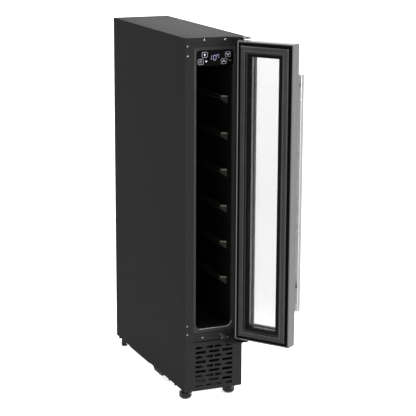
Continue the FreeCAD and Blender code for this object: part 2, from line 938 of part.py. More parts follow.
def cold_side():
    plate = box(
        centred("mouth_width/2 - fit_gap"),
        ("cover_front", "cover_front + cover_thick"),
        ("step_high + fit_gap", "cover_high"),
    )
    through = ("cover_front - skin", "cover_front + cover_thick + skin")
    vents = []
    for row in range(-2, 3):
        level = f"(cold_fan_level + {row}*cover_vent_pitch)"
        vents.append((level, "fan_vent_half"))
    for row in range(3):
        level = f"(step_high + return_vent_rise + {row}*cover_vent_pitch)"
        vents.append((level, "return_vent_half"))
    half = "cover_vent_height/2"
    vents = [
        box(centred(reach), through, (f"{level} - {half}", f"{level} + {half}"))
        for level, reach in vents
    ]
    node("evaporator_cover", cut(plate, *vents))

    tubes = []
    for column in COLD_TUBES:
        at = (
            f"{column}*coil_tube_pitch",
            "coil_front + coil_depth/2",
            "coil_low - coil_tube_over",
        )
        run = f"{COLD_FINS - 1}*coil_fin_pitch + 2*coil_tube_over"
        tubes.append(cylinder("z", at, "coil_tube_radius", run))
    fins = []
    for index in range(COLD_FINS):
        level = f"(coil_low + {index}*coil_fin_pitch)"
        fins.append(
            box(
                centred("coil_half"),
                ("coil_front", "coil_front + coil_depth"),
                (level, f"{level} + fin_thick"),
            )
        )
    node("evaporator", fuse(*tubes, *fins))

    node(
        "evaporator_fan",
        impeller(
            "cold_fan_front",
            "cold_fan_level",
            "cold_fan_depth",
            "cold_hub_radius",
            "cold_fan_radius",
            COLD_BLADES,
        ),
    )
    body_y = "(cold_fan_front + cold_fan_depth + cold_motor_gap)"
    can = cylinder(
        "y", ("0", body_y, "cold_fan_level"), "cold_motor_radius", f"liner_rear - {body_y}"
    )
    shaft = cylinder(
        "y",
        ("0", "cold_fan_front + shaft_inset", "cold_fan_level"),
        "shaft_radius",
        f"{body_y} - cold_fan_front",
    )
    node("evaporator_fan_motor", fuse(can, shaft))


def warm_side():
    near = f"({FRONT} + warm_coil_front)"
    far = f"({near} + warm_coil_depth)"
    fins = []
    for index in range(WARM_FINS):
        x = f"(-warm_coil_half + {index}*warm_fin_pitch)"
        fins.append(
            box((x, f"{x} + fin_thick"), (near, far), ("warm_coil_low", "warm_coil_high"))
        )
    tubes = []
    for index in range(WARM_TUBES):
        level = f"(warm_coil_low + warm_tube_first + {index}*warm_tube_pitch)"
        at = ("-warm_coil_half - warm_tube_over", f"{near} + warm_coil_depth/2", level)
        run = "2*warm_coil_half + 2*warm_tube_over"
        tubes.append(cylinder("x", at, "warm_tube_radius", run))
    node("condenser", fuse(*fins, *tubes))

    shroud_y = (f"{FRONT} + shroud_front", f"{FRONT} + shroud_front + 2*skin")
    plate = box(centred("shroud_half"), shroud_y, ("base_thick", "shroud_high"))
    hole = cylinder(
        "y",
        ("0", f"{FRONT} + shroud_front - skin", "warm_fan_level"),
        "warm_fan_radius + shroud_hole_gap",
        "4*skin",
    )
    node("condenser_fan_shroud", cut(plate, hole))

    node(
        "condenser_fan",
        impeller(
            f"({FRONT} + warm_fan_front)",
            "warm_fan_level",
            "warm_fan_depth",
            "warm_hub_radius",
            "warm_fan_radius",
            WARM_BLADES,
        ),
    )
    motor_y = f"({FRONT} + warm_fan_front + warm_fan_depth + warm_motor_gap)"
    can = cylinder(
        "y", ("0", motor_y, "warm_fan_level"), "warm_motor_radius", "warm_motor_depth"
    )
    shaft = cylinder(
        "y",
        ("0", f"{FRONT} + warm_fan_front + shaft_inset", "warm_fan_level"),
        "shaft_radius",
        "warm_fan_depth + warm_motor_gap",
    )
    bar_y = (f"{motor_y} + bracket_set_back", f"{motor_y} + bracket_set_back + bracket_thick")
    bar_z = ("warm_fan_level - bracket_bar/2", "warm_fan_level + bracket_bar/2")
    bar = box(centred("bracket_half"), bar_y, bar_z)
    leg_y = (shroud_y[1], bar_y[1])
    legs = [box(beside(side, "bracket_half", "2*skin"), leg_y, bar_z) for side in (-1, 1)]
    node("condenser_fan_motor", fuse(can, shaft, bar, *legs))


def compressor_group():
    at = ("0", "pump_y", "pump_low")
    shell = cylinder("z", at, "pump_radius", "pump_high - pump_low")
    top = cone(("0", "pump_y", "pump_high"), "pump_radius", "pump_dome_radius", "pump_dome")
    bottom = cone(
        ("0", "pump_y", "pump_plate_low + pump_plate_thick"),
        "pump_base_radius",
        "pump_radius",
        "pump_low - pump_plate_low - pump_plate_thick",
    )
    plate_z = ("pump_plate_low", "pump_plate_low + pump_plate_thick")
    plate_y = ("pump_y - pump_plate_half", "pump_y + pump_plate_half")
    plate = box(centred("pump_plate_half"), plate_y, plate_z)
    node("compressor", fuse(shell, top, bottom, plate))

    terminal = box(
        ("terminal_left", "terminal_right"),
        ("pump_y - terminal_half", "pump_y + terminal_half"),
        ("terminal_low", "terminal_high"),
    )
    around = cylinder("z", at, "pump_radius + fit_gap", "pump_high - pump_low")
    node("compressor_terminal_cover", cut(terminal, around))

    mounts = []
    for x in (-1, 1):
        for y in (-1, 1):
            at = (f"{x}*pump_mount_reach", f"pump_y + {y}*pump_mount_reach", "base_thick")
            mounts.append(cylinder("z", at, "pump_mount_radius", "pump_plate_low - base_thick"))
    node("compressor_mounts", *mounts)

    outer = box(
        centred("tray_half"),
        ("pump_y - tray_half", "pump_y + tray_half"),
        ("tray_low", "tray_high"),
    )
    inner = box(
        centred("tray_half - tray_wall"),
        ("pump_y - tray_half + tray_wall", "pump_y + tray_half - tray_wall"),
        ("tray_low + tray_wall", "tray_high + skin"),
    )
    dome_top = "(pump_high + pump_dome)"
    leg = cylinder("z", ("0", "pump_y", dome_top), "tray_leg_radius", f"tray_low - {dome_top}")
    node("drip_tray", fuse(cut(outer, inner), leg))

    body = cylinder("z", ("drier_x", "drier_y", "drier_low"), "drier_radius", "drier_length")
    ends = [
        cone(
            ("drier_x", "drier_y", "drier_low + drier_length"),
            "drier_radius",
            "pipe_radius",
            "drier_end",
        ),
        cone(
            ("drier_x", "drier_y", "drier_low - drier_end"),
            "pipe_radius",
            "drier_radius",
            "drier_end",
        ),
    ]
    node("filter_drier", fuse(body, *ends))

    front = -size("cab_depth") / 2
    coil_y = front + size("warm_coil_front") + size("warm_coil_depth") / 2
    coil_end = size("warm_coil_half") + size("warm_tube_over")
    low_tube = size("warm_coil_low") + size("warm_tube_first")
    high_tube = low_tube + (WARM_TUBES - 1) * size("warm_tube_pitch")
    drier_base = size("drier_low") - size("drier_end")
    lane = size("pipe_lane")
    hot = [
        (-size("pump_radius"), size("pump_y"), size("hot_level")),
        (-lane, size("pump_y"), size("hot_level")),
        (-lane, coil_y, size("hot_level")),
        (-lane, coil_y, high_tube),
        (-coil_end, coil_y, high_tube),
    ]
    liquid = [
        (-coil_end, coil_y, low_tube),
        (-lane, coil_y, low_tube),
        (-lane, size("drier_y"), low_tube),
        (size("drier_x"), size("drier_y"), low_tube),
        (size("drier_x"), size("drier_y"), drier_base),
    ]
    node("discharge_pipe", pipe("hot_run", hot))
    node("liquid_pipe", pipe("liquid_run", liquid))


def electrics():
    outer = box(("box_left", "box_right"), ("box_front", "box_rear"), ("box_low", "box_high"))
    inner = box(
        ("box_left + box_wall", "box_right - box_wall"),
        ("box_front + box_wall", "box_rear - box_wall"),
        ("box_low + box_wall", "box_high + skin"),
    )
    legs = box(
        ("box_left + box_foot_inset", "box_right - box_foot_inset"),
        ("box_front + box_foot_inset", "box_rear - box_foot_inset"),
        ("base_thick", "box_low"),
    )
    node("power_board_box", fuse(cut(outer, inner), legs))
    board_low = "box_low + box_wall + board_stand"
    node(
        "power_board",
        box(
            ("box_left + box_wall + fit_gap", "box_right - box_wall - fit_gap"),
            ("box_front + box_wall + fit_gap", "box_rear - box_wall - fit_gap"),
            (board_low, f"{board_low} + board_thick"),
        ),
    )
    node(
        "power_box_lid",
        box(
            ("box_left", "box_right"),
            ("box_front", "box_rear"),
            ("box_high", "box_high + lid_thick"),
        ),
    )
    sheet_y = f"({REAR} - rear_inset - rear_sheet)"
    sleeve = cylinder(
        "y",
        ("gland_x", f"{sheet_y} - gland_inside", "gland_level"),
        "gland_radius",
        "gland_inside + rear_sheet",
    )
    flange = cylinder(
        "y",
        ("gland_x", f"{sheet_y} + rear_sheet", "gland_level"),
        "gland_flange",
        "gland_flange_thick",
    )
    bore = cylinder(
        "y",
        ("gland_x", f"{sheet_y} - gland_inside - skin", "gland_level"),
        "gland_bore",
        "2*gland_inside",
    )
    node("mains_cable_gland", cut(fuse(sleeve, flange), bore))


def base_and_rear():
    plate_y = (f"{FRONT} + base_inset", f"{REAR} - rear_inset - rear_sheet - fit_gap")
    plate = box(centred(CAVITY), plate_y, ("0", "base_thick"))
    parts = [plate]
    for side in (-1, 1):
        edge = box(beside(side, CAVITY, "base_thick"), plate_y, ("0", "base_edge"))
        runner_y = ("runner_front", "runner_rear")
        runner = box(beside(side, CAVITY, "runner_width"), runner_y, ("-runner_depth", "0"))
        parts += [edge, runner]
    well_y = ("well_front", "well_rear")
    parts.append(box(centred("well_half"), well_y, ("-well_depth", "base_thick")))
    hollow = box(
        centred("well_half - base_thick"),
        ("well_front + base_thick", "well_rear - base_thick"),
        ("-well_depth + base_thick", "base_thick + skin"),
    )
    places = foot_places()
    threads = [cylinder("z", (x, y, "-skin"), "thread_bore", "base_edge") for _, _, x, y in places]
    node("base_pan", cut(fuse(*parts), hollow, *threads))

    nuts = []
    for _, _, x, y in places:
        body = prism("nut", 6, (x, y, "base_thick"), "nut_radius", "nut_height")
        nuts.append(cut(body, cylinder("z", (x, y, "0"), "thread_bore", "base_edge")))
    node("foot_nuts", *nuts)
    for name, size, x, y in places:
        pad_low = "-foot_drop"
        reach, edge = f"{size}foot_radius", f"{size}foot_bevel"
        bevel = cone((x, y, pad_low), f"{reach} - {edge}", reach, edge)
        pad = cylinder("z", (x, y, f"{pad_low} + {edge}"), reach, f"foot_pad - {edge}")
        neck = cylinder("z", (x, y, f"{pad_low} + foot_pad"), "foot_neck_radius", "foot_neck")
        stud = cylinder("z", (x, y, pad_low), "stud_radius", "foot_drop + stud_top")
        node(f"foot_{name}", fuse(bevel, pad, neck, stud))

    sheet_y = (f"{REAR} - rear_inset - rear_sheet", f"{REAR} - rear_inset")
    node(
        "rear_panel",
        box(centred(CAVITY), sheet_y, ("rear_join + fit_gap", "cab_height - skin - fit_gap")),
    )
    cover = box(centred(CAVITY), sheet_y, ("base_edge", "rear_join"))
    through = (f"{sheet_y[0]} - skin", f"{sheet_y[1]} + skin")
    vents = []
    for row in range(VENT_ROWS):
        level = f"(vent_first + {row}*vent_pitch)"
        vents.append(box(centred("vent_half"), through, (level, f"{level} + vent_height")))
    gland = cylinder(
        "y", ("gland_x", through[0], "gland_level"), "gland_radius + fit_gap", "4*skin"
    )
    node("rear_lower_cover", cut(cover, *vents, gland))


def foot_places():
    """Each foot's name, the prefix of its size's dimensions, and its place."""
    return (
        ("front_left", "", "-foot_x", "foot_front"),
        ("front_right", "", "foot_x", "foot_front"),
        ("rear_left", "rear_", "-foot_x", "foot_rear"),
        ("rear_right", "rear_", "foot_x", "foot_rear"),
    )


# ---------------------------------------------------------------- hinges


def leaf_outline(left_side):
    """The hinge leaf seen from above, from its left side's corners: each is (x, reach forward)."""
    back = -size("cab_depth") / 2
    right = size("leaf_right")
    front = PIN.y - size("leaf_nose")
    corner = size("leaf_corner")
    bulge = corner * (1 - math.sqrt(0.5))
    arc = [
        (right - corner, front),
        (right - bulge, front + bulge),
        (right, front + corner),
    ]
    points = [(x, back - reach) for x, reach in left_side] + arc[:1]
    sides = [list(pair) for pair in zip(points, points[1:])]
    return sides + [arc, [arc[2], (right, back)], [(right, back), points[0]]]


def pin_way(radius):
    """A cutter along the hinge line, from below the door to above the top leaf."""
    return cylinder("z", ("pin_x", PIN_Y, "0"), radius, "2*cab_height")


def hinges():
    screws = flange_screw_places()
    face_y = f"{FRONT} - leaf_thick"
    pin_fit_hole = "pin_radius + press_fit"
    reach = size("pin_reach") + size("leaf_nose")
    top_left_side = [
        (size("top_leaf_left"), 0),
        (size("top_leaf_waist"), size("top_leaf_waist_reach")),
        (size("top_leaf_neck"), size("top_leaf_neck_reach")),
        (size("top_leaf_nose_left"), reach),
    ]
    top_leaf = sketched_plate(
        "top_leaf",
        leaf_outline(top_left_side),
        "top_leaf_low",
        "cab_height - top_leaf_low",
    )
    top_drop = box(
        ("leaf_flange_left", "leaf_right"), (face_y, FRONT), ("top_leaf_drop", "top_leaf_low")
    )
    top_screws = screws["hinge_top"]
    holes = [screw_hole(x, face_y, z) for x, z in top_screws]
    node("top_hinge_plate", cut(fuse(top_leaf, top_drop), pin_way(pin_fit_hole), *holes))
    top_pin = cylinder(
        "z", ("pin_x", PIN_Y, "cab_height - pin_length"), "pin_radius", "pin_length"
    )
    low_pin = cylinder("z", ("pin_x", PIN_Y, "low_leaf_low"), "pin_radius", "pin_length")
    node("hinge_pins", top_pin, low_pin)

    low_edge = size("low_leaf_edge")
    corner = size("leaf_corner")
    low_leaf = sketched_plate(
        "low_leaf",
        leaf_outline([(low_edge, 0), (low_edge, reach - corner), (low_edge + corner, reach)]),
        "low_leaf_low",
        "low_leaf_high - low_leaf_low",
    )
    face = box(
        ("low_leaf_left", "leaf_right"), (face_y, FRONT), ("low_leaf_low", "low_leaf_face")
    )
    climb = box(
        ("leaf_flange_left", "leaf_right"), (face_y, FRONT), ("low_leaf_low", "low_leaf_climb")
    )
    low_screws = screws["hinge_low"] + screws["rail_hinge"]
    holes = [screw_hole(x, face_y, z) for x, z in low_screws]
    bracket = cut(fuse(low_leaf, face, climb), pin_way(pin_fit_hole), *holes)
    node("bottom_hinge_bracket", bracket)
    washer = cylinder(
        "z",
        ("pin_x", PIN_Y, "low_leaf_high"),
        "washer_radius",
        "door_low - low_leaf_high - washer_gap",
    )
    node("hinge_washer", cut(washer, pin_way(pin_fit_hole)))
    node("hinge_screws", *[screw(x, face_y, z) for x, z in top_screws + low_screws])


# ---------------------------------------------------------------- door


def door_frames():
    wrap = box(centred("door_width/2"), (DOOR_FACE, DOOR_BACK), ("door_low", "door_high"))
    cavity = box(
        centred("door_width/2 - door_sheet"),
        (f"{DOOR_FACE} + door_sheet", f"{DOOR_BACK} - door_sheet"),
        ("door_low + door_sheet", "door_high - door_sheet"),
    )
    lip_hole = box(
        centred("door_width/2 - door_lip"),
        (f"{DOOR_BACK} - 2*door_sheet", f"{DOOR_BACK} + skin"),
        ("door_low + door_lip", "door_high - door_lip"),
    )
    window = box(
        centred("door_width/2 - window_border"),
        (f"{DOOR_FACE} - skin", f"{DOOR_FACE} + 2*door_sheet"),
        ("door_low + window_border", "door_high - window_border"),
    )
    screw_ways = [
        cylinder("y", (x, f"{DOOR_FACE} - skin", z), "grip_screw_radius + fit_gap", "4*skin")
        for x, z in handle_screw_places()
    ]
    node(
        "door_outer_frame",
        cut(wrap, cavity, lip_hole, window, pin_way("bush_radius + fit_gap"), *screw_ways),
        pose=OPEN,
    )

    plate_y = (f"{DOOR_BACK} - frame_plate_front", f"{DOOR_BACK} - frame_plate_rear")
    plate = ring("door_sheet + fit_gap", "frame_inner", plate_y)
    rim = ring("frame_inner - rim_width", "frame_inner", (plate_y[1], f"{DOOR_BACK} + rim_rise"))
    wall_y = (f"{DOOR_FACE} + door_sheet + fit_gap", plate_y[0])
    outer_wall = ring("door_sheet + fit_gap", "door_sheet + fit_gap + frame_wall", wall_y)
    inner_wall = ring("pane_edge - fit_gap - frame_wall", "pane_edge - fit_gap", wall_y)
    whole = fuse(plate, rim, outer_wall, inner_wall)
    node("door_inner_frame", cut(whole, pin_way("bush_radius + fit_gap")), pose=OPEN)


def door_seal():
    root = ring(
        "seal_outer + seal_root",
        "frame_inner - rim_width - seal_root_inset",
        (f"{DOOR_BACK} - frame_plate_rear", DOOR_BACK),
    )
    body_y = (DOOR_BACK, f"{DOOR_BACK} + seal_body")
    body = ring("seal_outer", "frame_inner - rim_width - fit_gap", body_y)
    bulb = ring("seal_outer", "seal_bulb", (body_y[1], f"{DOOR_BACK} + seal_rise"))
    node("door_gasket", fuse(root, body, bulb), pose=OPEN)


def pane(rear, thickness):
    return box(
        centred("door_width/2 - pane_edge"),
        (f"{DOOR_BACK} - {rear} - {thickness}", f"{DOOR_BACK} - {rear}"),
        ("door_low + pane_edge", "door_high - pane_edge"),
    )


def glazing():
    node("inner_glass_pane", pane("inner_pane_rear", "inner_pane_thick"), pose=OPEN)
    node("outer_glass_pane", pane("outer_pane_rear", "outer_pane_thick"), pose=OPEN)
    spacer_y = (
        f"{DOOR_BACK} - outer_pane_rear",
        f"{DOOR_BACK} - inner_pane_rear - inner_pane_thick",
    )
    spacer = ring("pane_edge + spacer_set_in", "spacer_inner", spacer_y)
    node("glass_spacer_bar", spacer, pose=OPEN)
    bead_y = (
        f"{DOOR_FACE} + door_sheet",
        f"{DOOR_BACK} - outer_pane_rear - outer_pane_thick",
    )
    node("glass_bead", ring("pane_edge", "bead_edge", bead_y), pose=OPEN)


def handle_screw_places():
    middle = "(-door_width/2 + grip_left + grip_width/2)"
    return [(middle, f"{DOOR_MIDDLE} + {side}*post_offset") for side in (-1, 1)]


def handle():
    grip_x = ("-door_width/2 + grip_left", "-door_width/2 + grip_left + grip_width")
    grip_y = (f"{DOOR_FACE} - grip_stand - grip_thick", f"{DOOR_FACE} - grip_stand")
    node(
        "handle_bar",
        box(grip_x, grip_y, (f"{DOOR_MIDDLE} - grip_half", f"{DOOR_MIDDLE} + grip_half")),
        pose=OPEN,
    )
    posts = []
    fasteners = []
    for x, z in handle_screw_places():
        post = box(
            (f"{grip_x[0]} + post_inset", f"{grip_x[1]} - post_inset"),
            (grip_y[1], DOOR_FACE),
            (f"{z} - post_height/2", f"{z} + post_height/2"),
        )
        tapped = cylinder(
            "y",
            (x, f"{DOOR_FACE} - grip_screw_length - skin", z),
            "grip_screw_radius + press_fit",
            "grip_screw_length + 2*skin",
        )
        posts.append(cut(post, tapped))
        shank = cylinder(
            "y",
            (x, f"{DOOR_FACE} - grip_screw_length", z),
            "grip_screw_radius",
            "grip_screw_length + door_sheet",
        )
        head = cylinder(
            "y", (x, f"{DOOR_FACE} + door_sheet", z), "2*grip_screw_radius", "grip_head"
        )
        fasteners.append(fuse(shank, head))
    node("handle_posts", *posts, pose=OPEN)
    node("handle_screws", *fasteners, pose=OPEN)


def door_bearings():
    side_gap = "(door_sheet + fit_gap + frame_wall + fit_gap)"
    block_x = ("block_left", f"door_width/2 - {side_gap}")
    block_y = (
        f"{DOOR_FACE} + door_sheet + fit_gap",
        f"{DOOR_BACK} - frame_plate_front - fit_gap",
    )
    inside_low = f"(door_low + {side_gap})"
    inside_high = f"(door_high - {side_gap})"
    blocks = []
    for span in (
        (inside_low, f"{inside_low} + block_height"),
        (f"{inside_high} - block_height", inside_high),
    ):
        blocks.append(cut(box(block_x, block_y, span), pin_way("bush_radius + press_fit")))
    node("hinge_blocks", *blocks, pose=OPEN)

    bushes = []
    for low in ("door_low", "(door_high - bush_depth)"):
        sleeve = cylinder("z", ("pin_x", PIN_Y, low), "bush_radius", "bush_depth")
        bushes.append(cut(sleeve, pin_way("pin_radius + pin_fit")))
    node("hinge_bushes", *bushes, pose=OPEN)


# ---------------------------------------------------------------- build, check and write

carcass()
grille()
mouth_frame()
cold_space()
ledges()
controls()
cold_side()
warm_side()
compressor_group()
electrics()
base_and_rear()
hinges()
door_frames()
door_seal()
glazing()
handle()
door_bearings()
doc.recompute()

problems = []
for obj in doc.Objects:
    if "Invalid" in obj.State or "Error" in obj.State:
        problems.append(f"{obj.Name} ({obj.Label}) is {obj.State}")
for part in nodes:
    if part.Shape.isNull() or not part.Shape.isValid() or not part.Shape.Solids:
        problems.append(f"{part.Label} has no valid solid")
if problems:
    raise RuntimeError("; ".join(problems))

os.makedirs("parts", exist_ok=True)
for part in nodes:
    part.Shape.exportStep(f"parts/{part.Label}.step")
print(f"{len(nodes)} sub-parts written")
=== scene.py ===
"""Looks of the slim wine cooler, built round its CAD frame.

Materials, rounded shells, the door's seal, the panel's print, screws, feet and the studio.
"""

import json
import math

import bmesh
import bpy
from mathutils import Matrix, Vector


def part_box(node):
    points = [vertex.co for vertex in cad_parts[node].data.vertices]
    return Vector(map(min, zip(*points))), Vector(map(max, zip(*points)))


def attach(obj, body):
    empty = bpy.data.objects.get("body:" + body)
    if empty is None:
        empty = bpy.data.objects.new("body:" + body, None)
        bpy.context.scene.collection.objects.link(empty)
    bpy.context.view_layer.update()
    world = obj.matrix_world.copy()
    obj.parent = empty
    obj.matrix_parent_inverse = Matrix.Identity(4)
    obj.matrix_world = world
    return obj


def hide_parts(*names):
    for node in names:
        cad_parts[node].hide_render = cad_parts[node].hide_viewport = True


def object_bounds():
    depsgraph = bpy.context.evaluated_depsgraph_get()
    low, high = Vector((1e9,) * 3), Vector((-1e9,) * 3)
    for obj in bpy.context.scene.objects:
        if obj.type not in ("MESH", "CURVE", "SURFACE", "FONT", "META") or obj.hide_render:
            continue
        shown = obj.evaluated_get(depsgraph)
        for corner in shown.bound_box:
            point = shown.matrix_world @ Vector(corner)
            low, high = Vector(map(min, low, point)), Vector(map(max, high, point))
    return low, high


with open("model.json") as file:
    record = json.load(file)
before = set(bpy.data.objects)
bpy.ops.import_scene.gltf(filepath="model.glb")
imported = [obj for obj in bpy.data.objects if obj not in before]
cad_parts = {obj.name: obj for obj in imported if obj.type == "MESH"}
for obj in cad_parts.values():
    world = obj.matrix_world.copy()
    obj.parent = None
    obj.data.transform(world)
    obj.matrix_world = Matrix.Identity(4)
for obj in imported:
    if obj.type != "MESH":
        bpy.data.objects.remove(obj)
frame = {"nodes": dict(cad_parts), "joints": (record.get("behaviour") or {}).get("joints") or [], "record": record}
cad_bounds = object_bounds()
record = frame["record"]

MM = 0.001

# The frame holds the door open; TO_SHUT turns it shut about the hinge pin.
hinge = next(joint for joint in frame["joints"] if joint["name"] == "door_hinge")
PIN = Vector(hinge["pos_m"])
OPENED = -math.radians(hinge["range_deg"][0])
TO_OPEN = (
    Matrix.Translation(PIN) @ Matrix.Rotation(OPENED, 4, "Z") @ Matrix.Translation(-PIN)
)
TO_SHUT = TO_OPEN.inverted()
node_body = {
    node: body for body, nodes in record["behaviour"]["bodies"].items() for node in nodes
}
node_slot = {item["node"]: item["material_slot"] for item in record["subparts"]}


# ---------------------------------------------------------------- materials


class Surface:
    """A Principled material built node by node."""

    def __init__(self, name, **inputs):
        self.material = bpy.data.materials.new(name)
        self.material.use_nodes = True
        self.tree = self.material.node_tree
        self.shader = self.tree.nodes["Principled BSDF"]
        for socket, value in inputs.items():
            self.shader.inputs[socket.replace("_", " ")].default_value = value

    def node(self, kind, **settings):
        made = self.tree.nodes.new(kind)
        for key, value in settings.items():
            if hasattr(made, key):
                setattr(made, key, value)
            else:
                made.inputs[key.replace("_", " ")].default_value = value
        return made

    def link(self, source, target):
        self.tree.links.new(source, target)

    def noise(self, scale, stretch=(1, 1, 1), detail=3.0):
        """Noise in object space: scale is in waves a metre, before the stretch."""
        place = self.node("ShaderNodeTexCoord")
        mapping = self.node("ShaderNodeMapping")
        mapping.inputs["Scale"].default_value = stretch
        noise = self.node("ShaderNodeTexNoise", Scale=scale, Detail=detail)
        self.link(place.outputs["Object"], mapping.inputs["Vector"])
        self.link(mapping.outputs["Vector"], noise.inputs["Vector"])
        return noise.outputs["Fac"]

    def colours(self, source, stops):
        """Colours the surface by a source's value; stops are (value, colour)."""
        ramp = self.node("ShaderNodeValToRGB")
        steps = ramp.color_ramp.elements
        while len(steps) < len(stops):
            steps.new(0.5)
        for step, (place, colour) in zip(steps, stops):
            step.position = place
            step.color = (*colour, 1.0)
        self.link(source, ramp.inputs["Fac"])
        self.link(ramp.outputs["Color"], self.shader.inputs["Base Color"])

    def roughness(self, source, low, high):
        """Spreads the middle of a noise, 0.3 to 0.7, over a range of roughness."""
        spread = self.node("ShaderNodeMapRange")
        spread.inputs["From Min"].default_value = 0.3
        spread.inputs["From Max"].default_value = 0.7
        spread.inputs["To Min"].default_value = low
        spread.inputs["To Max"].default_value = high
        self.link(source, spread.inputs["Value"])
        self.link(spread.outputs["Result"], self.shader.inputs["Roughness"])

    def bump(self, source, strength, height):
        """Adds relief over whatever relief is there; height is in metres."""
        bump = self.node("ShaderNodeBump")
        bump.inputs["Strength"].default_value = strength
        bump.inputs["Distance"].default_value = height
        self.link(source, bump.inputs["Height"])
        normal = self.shader.inputs["Normal"]
        if normal.is_linked:
            self.link(normal.links[0].from_socket, bump.inputs["Normal"])
        self.link(bump.outputs["Normal"], normal)


def tint(colour, factor):
    """A lighter or darker colour."""
    return tuple(min(1.0, channel * factor) for channel in colour)


def mottled(surface, colour, spread, scale):
    """Lets a colour drift by a fraction to either side."""
    source = surface.noise(scale, detail=4.0)
    surface.colours(source, [(0.3, tint(colour, 1 - spread)), (0.7, tint(colour, 1 + spread))])


def powder_coat(name, colour):
    """Fine-textured baked paint on sheet steel."""
    surface = Surface(name, Specular_IOR_Level=0.003)
    mottled(surface, colour, spread=0.015, scale=9)
    surface.roughness(surface.noise(26), low=0.45, high=0.475)
    surface.bump(surface.noise(1400, detail=2.0), strength=0.1, height=0.00006)
    return surface.material


def moulded(name, colour, rough, specular=0.35):
    """Injection-moulded plastic with a fine spark-eroded grain."""
    surface = Surface(name, Specular_IOR_Level=specular)
    mottled(surface, colour, spread=0.08, scale=14)
    surface.roughness(surface.noise(40), low=rough - 0.06, high=rough + 0.06)
    surface.bump(surface.noise(1800, detail=2.0), strength=0.18, height=0.00006)
    return surface.material


def brushed(name, colour, rough):
    """Metal brushed upwards: long streaks in colour, roughness and relief."""
    stretch = (1, 1, 0.012)
    surface = Surface(name, Metallic=1.0, Anisotropic=0.4)
    streaks = surface.noise(2600, stretch, detail=4.0)
    surface.colours(streaks, [(0.25, tint(colour, 0.86)), (0.75, tint(colour, 1.08))])
    surface.roughness(surface.noise(900, stretch, detail=3.0), low=rough - 0.08, high=rough + 0.1)
    surface.bump(surface.noise(4200, stretch, detail=2.0), strength=0.12, height=0.00003)
    return surface.material


def plain_metal(name, colour, rough):
    """Smooth metal with faint clouding."""
    scale = 120
    surface = Surface(name, Metallic=1.0)
    mottled(surface, colour, spread=0.07, scale=scale)
    surface.roughness(surface.noise(scale * 3), low=rough - 0.06, high=rough + 0.08)
    surface.bump(surface.noise(scale * 12, detail=2.0), strength=0.08, height=0.00004)
    return surface.material


def galvanised(name, colour):
    """Zinc-coated sheet with its crystal spangle."""
    surface = Surface(name, Metallic=0.85)
    place = surface.node("ShaderNodeTexCoord")
    cells = surface.node("ShaderNodeTexVoronoi", Scale=120.0)
    surface.link(place.outputs["Object"], cells.inputs["Vector"])
    grey = surface.node("ShaderNodeRGBToBW")
    surface.link(cells.outputs["Color"], grey.inputs["Color"])
    surface.colours(grey.outputs["Val"], [(0.2, tint(colour, 0.85)), (0.8, tint(colour, 1.1))])
    surface.roughness(grey.outputs["Val"], low=0.34, high=0.5)
    surface.bump(surface.noise(700), strength=0.06, height=0.00005)
    return surface.material


def soft_rubber(name, colour, rough):
    """Dull elastomer."""
    surface = Surface(name, Specular_IOR_Level=0.06)
    mottled(surface, colour, spread=0.1, scale=22)
    surface.roughness(surface.noise(70), low=rough - 0.07, high=rough + 0.07)
    surface.bump(surface.noise(900, detail=3.0), strength=0.15, height=0.00008)
    return surface.material


def gloss(name, colour, rough, specular=0.5):
    """Smooth glossy plastic or paint with a barely uneven skin."""
    surface = Surface(name, Specular_IOR_Level=specular)
    mottled(surface, colour, spread=0.1, scale=12)
    surface.roughness(surface.noise(30), low=rough, high=rough + 0.05)
    surface.bump(surface.noise(45, detail=1.0), strength=0.02, height=0.0002)
    return surface.material


def glass(name, colour):
    """Clear pane with a faint tint."""
    surface = Surface(name, Transmission_Weight=1.0, IOR=1.45)
    mottled(surface, colour, spread=0.012, scale=5)
    surface.roughness(surface.noise(18), low=0.0, high=0.012)
    surface.bump(surface.noise(7, detail=1.0), strength=0.01, height=0.0003)
    return surface.material


def perforated_bar(name, colour, pitch):
    """The panes' spacer, with its row of breathing holes along every side drawn as darker spots: painted shade in
    the holes.
    """
    surface = Surface(name, Metallic=0.9)
    place = surface.node("ShaderNodeTexCoord")
    along = surface.node("ShaderNodeVectorMath", operation="DOT_PRODUCT")
    across = TO_OPEN.to_3x3() @ Vector((1, 0, 0))
    along.inputs[1].default_value = (across + Vector((0, 0, 1))) * (2 * math.pi / pitch)
    surface.link(place.outputs["Object"], along.inputs[0])
    wave = surface.node("ShaderNodeMath", operation="SINE")
    surface.link(along.outputs["Value"], wave.inputs[0])
    # Painted shade: the holes are darker spots where the sine is low
    surface.colours(wave.outputs["Value"], [(0.1, tint(colour, 0.3)), (0.5, colour)])
    surface.roughness(surface.noise(300), low=0.3, high=0.45)
    surface.bump(wave.outputs["Value"], strength=0.3, height=0.0002)
    return surface.material


def speckled(name, colour, spread, rough, scale):
    """Foam or board with visible grains."""
    surface = Surface(name, Specular_IOR_Level=0.4)
    mottled(surface, colour, spread=spread, scale=scale)
    surface.roughness(surface.noise(scale * 0.5), low=rough - 0.05, high=rough + 0.08)
    surface.bump(surface.noise(scale * 2), strength=0.3, height=0.0003)
    return surface.material


def glowing(name, colour, strength):
    """Lit print or a lamp."""
    surface = Surface(name, Emission_Color=(*colour, 1.0), Emission_Strength=strength)
    mottled(surface, colour, spread=0.05, scale=300)
    surface.roughness(surface.noise(200), low=0.3, high=0.4)
    return surface.material


